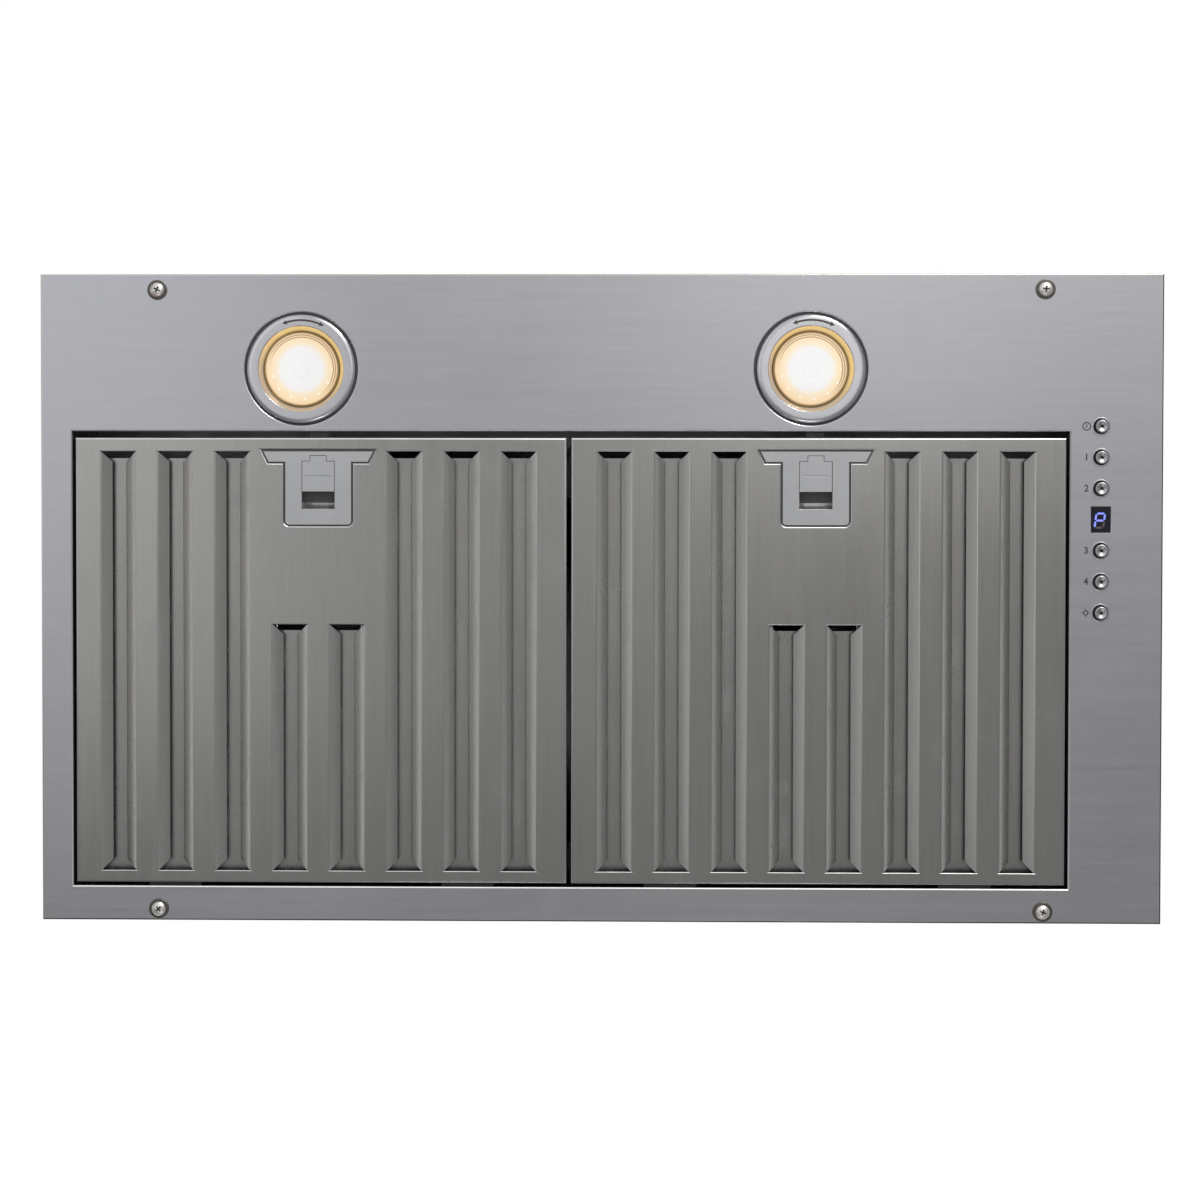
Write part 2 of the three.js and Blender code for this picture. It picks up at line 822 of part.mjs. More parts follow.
function junctionBox() {
  const x = junctionWidth / 2;
  const y = junctionDepth / 2;
  const top = boxFoot + junctionHeight;
  const glandZ = boxFoot + junctionHeight / 2;
  const bore = new THREE.CylinderGeometry(glandRadius - 3, glandRadius - 3, 10, 12);
  bore.translate(0, -y, glandZ);
  const boreZ = toSolid(bore);
  return cut(
    block(-x, x, -y, y, boxFoot, top),
    block(-x + bodySheet, x - bodySheet, -y + bodySheet, y - bodySheet, boxFoot + bodySheet, top + 1),
    rod(glandBore, boxFoot - 1, boxFoot + bodySheet + 1, 0, 0, 12),
    boreZ,
  );
}

function junctionCover() {
  const x = junctionWidth / 2 + fitGap;
  const y = junctionDepth / 2 + fitGap;
  const top = boxFoot + junctionHeight;
  return cut(
    block(-x - bodySheet, x + bodySheet, -y - bodySheet, y + bodySheet, top - 8, top + bodySheet),
    block(-x, x, -y, y, top - 9, top),
  );
}

// Strain relief with its bore for the supply cable, axis along Y.
function cableGland() {
  const spigot = glandRadius - 3 - fitGap;
  const turnedBody = turned([
    [glandBore, -4],
    [spigot, -4],
    [spigot, bodySheet / 2 + seatGap],
    [glandRadius, bodySheet / 2 + seatGap],
    [glandRadius, glandLength * 0.6],
    [glandRadius - 2, glandLength * 0.75],
    [glandBore + 1.5, glandLength],
    [glandBore, glandLength],
  ], 12);
  const toFront = new THREE.Matrix4().makeBasis(
    new THREE.Vector3(1, 0, 0),
    new THREE.Vector3(0, 0, 1),
    new THREE.Vector3(0, -1, 0),
  );
  const geometry = toGeometry(turnedBody);
  geometry.applyMatrix4(toFront);
  geometry.translate(0, -junctionDepth / 2 + bodySheet / 2, boxFoot + junctionHeight / 2);
  return toSolid(geometry);
}

function capacitor() {
  const foot = boxFoot;
  const can = turned([
    [0, foot],
    [capacitorRadius, foot],
    [capacitorRadius, foot + capacitorHeight - 4],
    [capacitorRadius - 3, foot + capacitorHeight],
    [0, foot + capacitorHeight],
  ], 16);
  const lugs = [-7, 7].map((x) => block(
    x - 3, x + 3, -0.5, 0.5,
    foot + capacitorHeight - 1,
    foot + capacitorHeight + 8,
  ));
  return join(can, ...lugs);
}

piece(wiring, 'junction_box', junctionBox(), finishes.galvanised);
piece(wiring, 'junction_cover', junctionCover(), finishes.galvanised);
piece(wiring, 'cable_gland', cableGland(), finishes.glandGrey);
piece(hood, 'motor_capacitor', capacitor(), finishes.capacitorGrey).position.set(capacitorX, capacitorY, 0);

// ---------------------------------------------------------------- lamps

const lugCount = 3;
const ledgeLow = 4;
const ledgeTop = 5.5;

// Can above the panel: flange on the panel, wall, closed top with the socket's hole, and a
// ledge inside with three gaps that let the ring's lugs through.
function lampCup() {
  const inner = cupRadius - cupSheet;
  const shell = turned([
    [inner, panelInner],
    [cupFlange, panelInner],
    [cupFlange, panelInner + cupSheet],
    [cupRadius, panelInner + cupSheet],
    [cupRadius, cupHeight],
    [pinSpacing + 4, cupHeight],
    [pinSpacing + 4, cupHeight - cupSheet],
    [inner, cupHeight - cupSheet],
    [inner, ledgeTop],
    [sleeveRadius + 0.7, ledgeTop],
    [sleeveRadius + 0.7, ledgeLow],
    [inner, ledgeLow],
  ], 24);
  const gaps = [];
  for (let i = 0; i < lugCount; i += 1) {
    const gap = block(sleeveRadius, inner - 0.2, -6, 6, ledgeLow - 0.2, ledgeTop + 0.2);
    gaps.push(gap.rotate([0, 0, ringTurn + (360 * i) / lugCount]));
  }
  return cut(shell, ...gaps);
}

// Twist ring: satin face, golden cone round the bulb, sleeve and lugs.
function lampRing() {
  const face = panelFace - ringProud;
  const back = panelInner - fitGap;
  const cone = bulbRadius + 1;
  const shell = turned([
    [ringInner, face],
    [ringRadius - 1.6, face],
    [ringRadius, face + 1.4],
    [ringRadius, back],
    [sleeveRadius, back],
    [sleeveRadius, sleeveHeight],
    [sleeveRadius - 1.2, sleeveHeight],
    [sleeveRadius - 1.2, back + 2.4],
    [cone + 1, back + 4],
    [cone, back + 4],
    [ringInner - 0.9, face + 1],
  ], 28);
  const lugs = [];
  for (let i = 0; i < lugCount; i += 1) {
    const lug = block(sleeveRadius - 0.6, cupRadius - cupSheet - 0.9, -4.5, 4.5, ledgeTop + fitGap, ledgeTop + 2.6);
    lugs.push(lug.rotate([0, 0, (360 * i) / lugCount]));
  }
  return join(shell, ...lugs);
}

function lampBulb() {
  const base = bulbFaceZ + bulbHeight;
  const glass = turned([
    [0, bulbFaceZ + 0.8],
    [bulbRadius - 2, bulbFaceZ + 0.8],
    [bulbRadius - 1.6, bulbFaceZ],
    [bulbRadius, bulbFaceZ],
    [bulbRadius, bulbFaceZ + 4],
    [bulbRadius - 3, bulbFaceZ + 14],
    [11, bulbFaceZ + 34],
    [8.5, base],
    [0, base],
  ], 20);
  const pins = [-1, 1].map((side) => rod(pinRadius, base - 0.5, base + 7, (side * pinSpacing) / 2, 0, 8));
  return join(glass, ...pins);
}

function lampSocket() {
  const low = bulbFaceZ + bulbHeight + seatGap;
  const holes = [-1, 1].map((side) => (
    rod(pinRadius + fitGap, low - 1, low + 7.5, (side * pinSpacing) / 2, 0, 8)
  ));
  const collarLow = cupHeight;
  const body = block(-9, 9, -9, 9, low, low + socketHeight);
  const collar = block(-17, 17, -9, 9, collarLow, collarLow + 3);
  return cut(join(body, collar, block(-9, 9, -9, 9, low + socketHeight - 1, collarLow + 6)), ...holes);
}

for (const [place, x] of lampPlaces) {
  const lamp = new THREE.Group();
  lamp.position.set(x, lampY, 0);
  hood.add(lamp);
  piece(lamp, `lamp_cup_${place}`, lampCup(), finishes.blackCup);
  piece(lamp, `lamp_ring_${place}`, lampRing(), finishes.satinRing);
  piece(lamp, `lamp_bulb_${place}`, lampBulb(), finishes.bulb);
  piece(lamp, `lamp_socket_${place}`, lampSocket(), finishes.ceramic);
}

// ---------------------------------------------------------------- buttons, display, control box

const flangeTop = panelInner + seatGap + 1.2;
const stemTop = flangeTop + buttonStem;
const plungerLow = stemTop + buttonTravel + seatGap;
const boardLow = plungerLow + plungerLength + switchHeight;
const boardTop = boardLow + boardSheet;

// Dished cap with a flange behind the panel and a stem to its switch.
function pushButton() {
  const tip = panelFace - buttonProud;
  const flange = buttonHole + 0.9;
  return turned([
    [0, tip + 1],
    [buttonRadius * 0.7, tip],
    [buttonRadius, tip + 0.8],
    [buttonRadius, panelInner + seatGap],
    [flange, panelInner + seatGap],
    [flange, flangeTop],
    [2, flangeTop],
    [2, stemTop],
    [0, stemTop],
  ], 12);
}

// Open-bottomed plastic box on the panel; the board sits under a shoulder inside it.
function controlBox() {
  const x = controlWidth / 2;
  const y = controlLength / 2;
  const ledge = 1.5;
  return cut(
    block(-x, x, -y, y, panelInner, controlHeight),
    block(-x + controlWall, x - controlWall, -y + controlWall, y - controlWall, panelInner - 1, boardTop),
    block(
      -x + controlWall + ledge,
      x - controlWall - ledge,
      -y + controlWall + ledge,
      y - controlWall - ledge,
      boardTop - 1,
      controlHeight - controlWall,
    ),
  );
}

function controlBoard() {
  const x = controlWidth / 2 - controlWall - fitGap;
  const y = controlLength / 2 - controlWall - fitGap;
  const parts = [block(-x, x, -y, y, boardLow, boardTop)];
  for (const [, step] of buttonPlaces) {
    const at = step * buttonPitch;
    parts.push(block(-3, 3, at - 3, at + 3, boardLow - switchHeight, boardLow));
    parts.push(rod(1.7, plungerLow, boardLow - switchHeight, 0, at, 8));
  }
  return join(...parts);
}

function displayWindow() {
  const x = windowWidth / 2;
  const y = windowLength / 2;
  return join(
    block(-x, x, -y, y, panelFace, panelFace + windowSheet),
    block(-x - 1.6, x + 1.6, -y - 1.6, y + 1.6, panelInner, panelFace + windowSheet),
  );
}

function displayModule() {
  const x = windowWidth / 2;
  const y = windowLength / 2;
  return block(-x, x, -y, y, panelFace + windowSheet + seatGap, boardLow);
}

const controls = new THREE.Group();
controls.position.set(buttonX, displayY, 0);
hood.add(controls);
for (const [name, step] of buttonPlaces) {
  const button = piece(controls, `button_${name}`, pushButton(), finishes.chrome);
  button.position.set(0, step * buttonPitch, 0);
}
piece(controls, 'display_window', displayWindow(), finishes.blackWindow);
piece(controls, 'display_module', displayModule(), finishes.blackPlastic);
piece(controls, 'control_board', controlBoard(), finishes.board);
piece(controls, 'control_box', controlBox(), finishes.blackPlastic);

// ---------------------------------------------------------------- filters

const slotFront = -filterDepth / 2 + slotFrontMargin;
const slotRear = filterDepth / 2 - slotRearMargin;
const shortFront = -filterDepth / 2 + shortSlotStart;
const filterInner = filterFace + filterSheet;
const filterTop = filterFace + filterHeight;
const backLow = filterTop - 2 * filterSheet;
const backTop = filterTop - filterSheet;

// Middle of each slot across the filter; the two middle slots are short, behind the latch.
function slotPlaces() {
  const places = [];
  for (let i = 0; i < slotCount; i += 1) {
    const short = i === slotCount / 2 - 1 || i === slotCount / 2;
    places.push({ x: slotShift + (i - (slotCount - 1) / 2) * slotPitch, front: short ? shortFront : slotFront });
  }
  return places;
}

// T-shaped outline of the latch, grown by a margin all round.
function latchOutline(grow) {
  const half = latchWidth / 2 + grow;
  const front = latchFront - grow;
  const shoulder = latchFront + barDepth + grow;
  const rear = latchFront + latchLength + grow;
  const corner = latchCorner + grow / 2;
  const shape = new THREE.Shape();
  shape.moveTo(slotShift - barHalf - grow, front);
  shape.lineTo(slotShift + barHalf + grow, front);
  shape.lineTo(slotShift + barHalf - barBevel + grow, shoulder);
  shape.lineTo(slotShift + half, shoulder);
  shape.lineTo(slotShift + half, rear - corner);
  shape.quadraticCurveTo(slotShift + half, rear, slotShift + half - corner, rear);
  shape.lineTo(slotShift - half + corner, rear);
  shape.quadraticCurveTo(slotShift - half, rear, slotShift - half, rear - corner);
  shape.lineTo(slotShift - half, shoulder);
  shape.lineTo(slotShift - barHalf + barBevel - grow, shoulder);
  return shape;
}

// One sloping lip along a slot's long edge, mitred at both ends. side is -1 left, 1 right.
function slotLip(x, front, rear, side) {
  const slant = Math.hypot(lipRun, lipRise);
  const lip = outline([[front, 0], [rear, 0], [rear - lipRun, slant], [front + lipRun, slant]]);
  const geometry = new THREE.ExtrudeGeometry(lip, { depth: filterSheet, bevelEnabled: false });
  const across = lipRun / slant;
  const up = lipRise / slant;
  const place = new THREE.Matrix4().makeBasis(
    new THREE.Vector3(0, 1, 0),
    new THREE.Vector3(-side * across, 0, up),
    new THREE.Vector3(side * up, 0, across),
  );
  place.setPosition(x + (side * slotWidth) / 2, 0, filterFace);
  geometry.applyMatrix4(place);
  return toSolid(geometry);
}

function boltWindow() {
  const gap = 0.5;
  return block(
    slotShift - boltHalf - gap,
    slotShift + boltHalf + gap,
    -filterDepth / 2 - 1,
    -filterDepth / 2 + 4,
    boltLow - gap,
    boltLow + boltSheet + gap,
  );
}

// Stamped front sheet: tray with slots, sloping lips, latch cut-out and two hinge tabs.
function filterFront() {
  const x = filterWidth / 2;
  const y = filterDepth / 2;
  const sheet = rectangle(-x, x, -y, y);
  for (const slot of slotPlaces()) {
    sheet.holes.push(rectangle(slot.x - slotWidth / 2, slot.x + slotWidth / 2, slot.front, slotRear));
  }
  sheet.holes.push(latchOutline(latchGap));
  const wall = rectangle(-x, x, -y, y);
  wall.holes.push(rectangle(-x + filterSheet, x - filterSheet, -y + filterSheet, y - filterSheet));
  const lips = slotPlaces().flatMap((slot) => [
    slotLip(slot.x, slot.front, slotRear, -1),
    slotLip(slot.x, slot.front, slotRear, 1),
  ]);
  const tabLow = panelInner + seatGap;
  const tabEnd = opening.rear + tabReach - filterY;
  const tabs = [-1, 1].map((side) => block(
    (side * tabSpread) / 2 - tabWidth / 2,
    (side * tabSpread) / 2 + tabWidth / 2,
    y - filterSheet,
    tabEnd,
    tabLow,
    tabLow + filterSheet,
  ));
  const tray = join(plate(sheet, filterFace, filterInner), plate(wall, filterFace, filterTop));
  return cut(join(tray, ...lips, ...tabs), boltWindow());
}

// Rear sheet nested in the tray: floors behind the slots, turned-down edges, air slots between.
function filterBack() {
  const x = filterWidth / 2 - filterSheet - fitGap;
  const y = filterDepth / 2 - filterSheet - fitGap;
  const sheet = rectangle(-x, x, -y, y);
  const places = slotPlaces();
  for (const slot of places) {
    sheet.holes.push(rectangle(
      slot.x - frontWindowHalf, slot.x + frontWindowHalf,
      slot.front - frontWindowLead, slot.front + floorLag,
    ));
  }
  const edges = [];
  for (let i = 0; i + 1 < places.length; i += 1) {
    const left = places[i].x + floorHalf;
    const right = places[i + 1].x - floorHalf;
    const middle = i === slotCount / 2 - 1;
    const front = (middle ? shortFront : slotFront) + ridgeLag;
    sheet.holes.push(rectangle(left, right, front, slotRear - ridgeStop));
    for (const [x0, x1] of [[left - filterSheet, left], [right, right + filterSheet]]) {
      edges.push(block(x0, x1, front, slotRear - ridgeStop, backLow - floorDrop, backTop));
    }
  }
  const skirt = rectangle(-x, x, -y, y);
  skirt.holes.push(rectangle(-x + filterSheet, x - filterSheet, -y + filterSheet, y - filterSheet));
  const whole = join(
    plate(sheet, backLow, backTop),
    plate(skirt, filterInner + seatGap, backTop),
    ...edges,
  );
  return cut(whole, boltWindow());
}

const cavityHalf = sliderWidth / 2 + fitGap;
const housingTop = filterInner + latchHousing;
const springX = slotShift + boltHalf + springRadius + springWire + 0.4;
const springZ = filterInner + sliderPlate + springRadius + 0.4;
const springFront = latchFront + sliderStart + 4.6;
const springRear = latchFront + sliderEnd - 2;

// T-shaped cover with its backing rim, slider channel and finger recess with a curved end.
function latchBody() {
  const rimLow = filterInner;
  const rimTop = rimLow + latchBacking;
  const half = latchWidth / 2;
  const front = latchFront;
  const housing = block(
    slotShift - half, slotShift + half,
    front, front + latchLength,
    rimLow, housingTop,
  );
  const channel = block(
    slotShift - cavityHalf, slotShift + cavityHalf,
    front + sliderStart - fitGap, front + recessEnd,
    filterFace - 1, housingTop - 1,
  );
  const tabNotch = block(
    slotShift - sliderTabHalf - fitGap, slotShift + sliderTabHalf + fitGap,
    front + sliderTabStart - fitGap, front + sliderStart,
    filterFace - 1, rimTop,
  );
  const boltWay = block(
    slotShift - boltHalf - fitGap, slotShift + boltHalf + fitGap,
    front - 3, front + sliderStart,
    boltLow - fitGap, boltLow + boltSheet + fitGap,
  );
  const scoopRadius = 6;
  const scoop = new THREE.Shape();
  const scoopRear = front + recessEnd + 0.5;
  const scoopTop = housingTop - 0.5;
  scoop.moveTo(scoopRear, filterFace + 1.2);
  scoop.lineTo(scoopRear, scoopTop);
  scoop.lineTo(scoopRear - scoopRadius, scoopTop);
  scoop.quadraticCurveTo(scoopRear - 1, scoopTop - 0.8, scoopRear - 0.6, filterFace + 1.2);
  const scoopSolid = alongX(plate(scoop, slotShift - cavityHalf - 0.3, slotShift + cavityHalf + 0.3));
  const springRib = block(
    slotShift + boltHalf + fitGap, slotShift + cavityHalf + 0.5,
    springRear + seatGap, springRear + seatGap + 1,
    filterInner + sliderPlate + fitGap, housingTop,
  );
  const body = join(plate(latchOutline(0), filterFace, rimTop), plate(latchOutline(3), rimLow, rimTop), housing);
  return join(cut(body, channel, tabNotch, boltWay), scoopSolid, springRib);
}

// Grip plate, block behind it and the bolt that reaches over towards the panel's edge.
function latchSlider() {
  const face = filterFace + 0.15;
  const back = filterInner + sliderPlate;
  const front = latchFront + sliderStart;
  const rear = latchFront + sliderEnd;
  const half = sliderWidth / 2;
  const grip = block(
    slotShift - gripHalf, slotShift + gripHalf,
    latchFront + gripStart, latchFront + gripStart + gripDepth,
    face - 1, face + gripDepth / 2,
  );
  const tip = opening.front + fitGap + 0.1 - filterY;
  return cut(
    join(
      block(slotShift - half, slotShift + half, front, rear, face, back),
      block(
        slotShift - sliderTabHalf, slotShift + sliderTabHalf,
        latchFront + sliderTabStart, front + 1,
        face, filterInner + latchBacking - fitGap,
      ),
      block(slotShift - boltHalf, slotShift + boltHalf, front + 0.3, rear, back - 1, boltLow + boltSheet),
      block(slotShift - boltHalf, slotShift + boltHalf, tip, rear, boltLow, boltLow + boltSheet),
      block(slotShift + boltHalf - 1, slotShift + half, front + 0.3, springFront - seatGap, back - 1, springZ + 1.6),
    ),
    grip,
  );
}

// Coil between the slider's ear and the housing's rib, along Y, as one unbroken tube.
function latchSpring() {
  const length = springRear - springFront;
  const stepsPerCurl = 8;
  const steps = springCurls * stepsPerCurl;
  const points = [];
  for (let i = 0; i <= steps; i += 1) {
    const turn = (2 * Math.PI * i) / stepsPerCurl;
    points.push(new THREE.Vector3(
      springRadius * Math.cos(turn),
      springWire / 2 + ((length - springWire) * i) / steps,
      springRadius * Math.sin(turn),
    ));
  }
  const path = new THREE.CurvePath();
  for (let i = 0; i < steps; i += 1) path.add(new THREE.LineCurve3(points[i], points[i + 1]));
  const wire = disc(springWire / 2, 0, 0, 5);
  const smooth = new THREE.CatmullRomCurve3(points);
  const geometry = new THREE.ExtrudeGeometry(wire, { steps, extrudePath: smooth, bevelEnabled: false });
  geometry.translate(springX, springFront, springZ);
  let least = Infinity;
  for (let i = 0; i <= steps; i += 1) {
    for (let j = i + stepsPerCurl - 2; j <= steps; j += 1) {
      least = Math.min(least, points[i].distanceTo(points[j]) - springWire);
    }
  }
  console.log(`latch spring: least gap between curls ${least.toFixed(2)} mm`);
  return toSolid(geometry);
}

for (const [place, side] of [['left', -1], ['right', 1]]) {
  const filter = new THREE.Group();
  filter.position.set(openingMiddle + (side * filterPitch) / 2, filterY, 0);
  hood.add(filter);
  piece(filter, `filter_front_${place}`, filterFront(), finishes.filterSteel);
  piece(filter, `filter_back_${place}`, filterBack(), finishes.filterSteel);
  piece(filter, `latch_body_${place}`, latchBody(), finishes.latchGrey);
  piece(filter, `latch_slider_${place}`, latchSlider(), finishes.latchGrey);
  piece(filter, `latch_spring_${place}`, latchSpring(), finishes.springSteel);
}

export default hood;
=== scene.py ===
import json
from math import atan2, cos, hypot, pi, radians, sin, sqrt, tan

import bmesh
import bpy
from mathutils import Matrix, Vector


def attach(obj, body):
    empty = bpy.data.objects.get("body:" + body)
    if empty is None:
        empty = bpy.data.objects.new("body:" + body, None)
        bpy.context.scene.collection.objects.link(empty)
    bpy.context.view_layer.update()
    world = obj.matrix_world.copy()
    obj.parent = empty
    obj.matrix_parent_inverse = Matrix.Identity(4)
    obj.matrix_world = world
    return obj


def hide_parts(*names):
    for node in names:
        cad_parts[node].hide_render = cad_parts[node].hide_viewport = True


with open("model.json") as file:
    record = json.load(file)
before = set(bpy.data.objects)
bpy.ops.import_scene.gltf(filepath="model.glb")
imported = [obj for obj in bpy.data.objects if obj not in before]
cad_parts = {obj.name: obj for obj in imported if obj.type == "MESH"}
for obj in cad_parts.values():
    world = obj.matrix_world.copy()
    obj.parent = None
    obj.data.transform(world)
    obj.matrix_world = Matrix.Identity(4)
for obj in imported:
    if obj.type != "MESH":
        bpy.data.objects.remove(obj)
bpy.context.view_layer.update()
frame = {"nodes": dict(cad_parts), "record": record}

mm = 0.001  # shapes are drawn in millimetres and scaled to metres when they are finished
print("frame loaded")

# ---- node helpers: a wire is one output socket, and sums on it add Math nodes


class Wire:
    def __init__(self, tree, socket):
        self.tree = tree
        self.socket = socket

    def calc(self, operation, other=None, flipped=False):
        terms = (self,) if other is None else (other, self) if flipped else (self, other)
        return self.tree.add("ShaderNodeMath", {"operation": operation}, dict(enumerate(terms)))

    def __add__(self, other):
        return self.calc("ADD", other)

    def __radd__(self, other):
        return self.calc("ADD", other, True)

    def __sub__(self, other):
        return self.calc("SUBTRACT", other)

    def __rsub__(self, other):
        return self.calc("SUBTRACT", other, True)

    def __mul__(self, other):
        return self.calc("MULTIPLY", other)

    def __truediv__(self, other):
        return self.calc("DIVIDE", other)

    def out(self, name):
        return Wire(self.tree, self.socket.node.outputs[name])


class Tree:
    def __init__(self, tree):
        self.tree = tree
        tree.nodes.clear()

    # one method for every node: its type, its settings, then the values or links of its sockets
    def add(self, kind, settings=None, inputs=None, output=0):
        node = self.tree.nodes.new(kind)
        for key, value in (settings or {}).items():
            if key == "stops":
                marks = node.color_ramp.elements
                marks.remove(marks[1])
                marks[0].position, marks[0].color = value[0]
                for place, color in value[1:]:
                    marks.new(place).color = color
            else:
                setattr(node, key, value)
        for key, value in (inputs or {}).items():
            if isinstance(value, Wire):
                self.tree.links.new(value.socket, node.inputs[key])
            else:
                node.inputs[key].default_value = value
        return Wire(self, node.outputs[output]) if node.outputs else None


finishes = {}  # every paint, kept under its name


class Paint(Tree):
    def __init__(self, name):
        self.material = finishes[name] = bpy.data.materials.new(name)
        self.material.use_nodes = True
        super().__init__(self.material.node_tree)

    def place(self, scale=(1, 1, 1), move=(0, 0, 0)):
        spot = self.add("ShaderNodeTexCoord", output="Object")
        return self.add("ShaderNodeMapping", {}, {"Vector": spot, "Location": move, "Scale": scale})

    # noise with this many waves to the metre along each axis
    def noise(self, waves, detail, rough, move=(0, 0, 0)):
        scale = waves if isinstance(waves, tuple) else (waves, waves, waves)
        return self.add("ShaderNodeTexNoise", {}, {
            "Vector": self.place(scale, move), "Scale": 1.0, "Detail": detail, "Roughness": rough,
        })

    def ramp(self, value, stops):
        return self.add("ShaderNodeValToRGB", {"stops": stops}, {0: value})

    # from 0 at the low value to 1 at the high one
    def band(self, value, low, high):
        return self.add("ShaderNodeMapRange", {"interpolation_type": "SMOOTHSTEP"}, {0: value, 1: low, 2: high})

    def blend(self, factor, first, second, mode="MIX"):
        settings = {"data_type": "RGBA", "blend_type": mode}
        return self.add("ShaderNodeMix", settings, {0: factor, 6: first, 7: second}, output=2)

    # colour times a tone that wavers about 1
    def shaded(self, color, tone):
        return self.blend(1.0, color, self.add("ShaderNodeCombineColor", {}, {0: tone, 1: tone, 2: tone}), "MULTIPLY")

    def bump(self, height, strength, distance):
        return self.add("ShaderNodeBump", {}, {"Strength": strength, "Distance": distance, "Height": height})

    def surface(self, values):
        body = self.add("ShaderNodeBsdfPrincipled", {}, values)
        self.add("ShaderNodeOutputMaterial", {}, {"Surface": body})


# ---- finishes

steelValues = {
    # name: base colour, roughness, grain direction, grain depth, smudge, wave height and waves to the metre
    "faceSteel": ((0.365, 0.367, 0.387, 1), 0.30, "x", 0.02, 0.12, 0.0, 11),
    "filterSteel": ((0.290, 0.286, 0.278, 1), 0.20, "y", 0.02, 0.22, 0.06, 18),
    # a paler copy of the filter steel, as painted light on the sloping lips and on the panel rim's near side
    "lipSteel": ((0.43, 0.424, 0.413, 1), 0.24, "y", 0.03, 0.30, 0.08, 18),
    # a pale steel, as a painted highlight on edges that face the front
    "edgeSteel": ((0.74, 0.735, 0.725, 1), 0.42, "x", 0.02, 0.20, 0.0, 18),
    # the floors' own mottled steel, made darker as painted shade in the channels they lie in
    "floorSteel": ((0.26, 0.256, 0.248, 1), 0.26, "y", 0.03, 0.50, 0.22, 42),
    "wheelSteel": ((0.50, 0.51, 0.52, 1), 0.42, "x", 0.05, 0.25, 0.0, 10),
    # a dark, dull copy of the sheet steel, as painted shade inside the housing
    "innerSteel": ((0.24, 0.245, 0.25, 1), 0.50, "x", 0.02, 0.35, 0.0, 10),
    "shaftSteel": ((0.56, 0.56, 0.56, 1), 0.22, "x", 0.04, 0.10, 0.0, 10),
    "springSteel": ((0.38, 0.38, 0.38, 1), 0.28, "x", 0.04, 0.10, 0.0, 10),
}
# waves to the metre along the grain and across it
brushValues = {"hair": (60, 5200), "streaks": (35, 1600), "bands": (9, 330)}


def brushedSteel(name):
    color, roughness, grain, depth, smudge, swell, waves = steelValues[name]
    paint = Paint(name)

    def along(low, high):
        return (low, high, high) if grain == "x" else (high, low, high)

    hair = paint.noise(along(*brushValues["hair"]), 1.0, 0.5)
    streaks = paint.noise(along(*brushValues["streaks"]), 3.0, 0.6)
    bands = paint.noise(along(*brushValues["bands"]), 2.0, 0.5, (3.1, 1.7, 0.4))
    clouds = paint.noise(7, 4.0, 0.6, (0.3, 0.9, 0.2))
    patches = paint.noise((26, 20, 26), 5.0, 0.65, (1.3, 4.9, 2.2))
    slow = paint.noise(along(waves * 0.45, waves), 2.0, 0.45, (0.7, 0.2, 1.9))
    wear = paint.band(patches, 0.52, 0.72)
    tone = (streaks - 0.5) * 0.14 + (bands - 0.5) * 0.10 + (clouds - 0.5) * (0.5 * smudge) + 1.0
    paint.surface({
        "Base Color": paint.shaded(color, tone),
        "Metallic": 1.0,
        "Roughness": roughness + (bands - 0.5) * 0.08 + wear * (0.25 * smudge) + (clouds - 0.5) * 0.06,
        "Normal": paint.bump(hair + streaks * 0.1 + slow * (swell / depth), 1.0, depth * mm),
    })


galvanisedValues = {
    "color": (0.50, 0.52, 0.54, 1), "dark": (0.35, 0.37, 0.39, 1), "spangle": 75, "roughness": 0.42,
}


def galvanisedSteel():
    v = galvanisedValues
    paint = Paint("galvanised")
    flakes = paint.add(
        "ShaderNodeTexVoronoi", {"feature": "F1"},
        {"Vector": paint.place(), "Scale": v["spangle"], "Randomness": 1.0}, output="Color",
    )
    split = paint.add("ShaderNodeSeparateColor", {}, {0: flakes})
    fine = paint.noise(900, 2.0, 0.6)
    dust = paint.band(paint.noise(6, 4.0, 0.6), 0.5, 0.75)
    paint.surface({
        "Base Color": paint.blend(split * 0.7 + fine * 0.3, v["dark"], v["color"]),
        "Metallic": 0.92 - dust * 0.15,
        "Roughness": v["roughness"] + (split - 0.5) * 0.16 + dust * 0.14,
        "Normal": paint.bump(fine + split * 0.4, 0.25, 0.02 * mm),
    })


nickelValues = {"color": (0.57, 0.555, 0.53, 1), "copper": (0.62, 0.43, 0.34, 1), "roughness": 0.33}


def nickelPlate():
    v = nickelValues
    paint = Paint("nickel")
    stain = paint.noise(160, 3.0, 0.6, (0.2, 0.8, 0.1))
    scratch = paint.noise((900, 1500, 900), 3.0, 0.6)
    paint.surface({
        "Base Color": paint.blend(paint.band(stain, 0.55, 0.75) * 0.6, v["color"], v["copper"]),
        "Metallic": 1.0,
        "Roughness": v["roughness"] + scratch * 0.14,
        "Normal": paint.bump(scratch, 0.2, 0.03 * mm),
    })


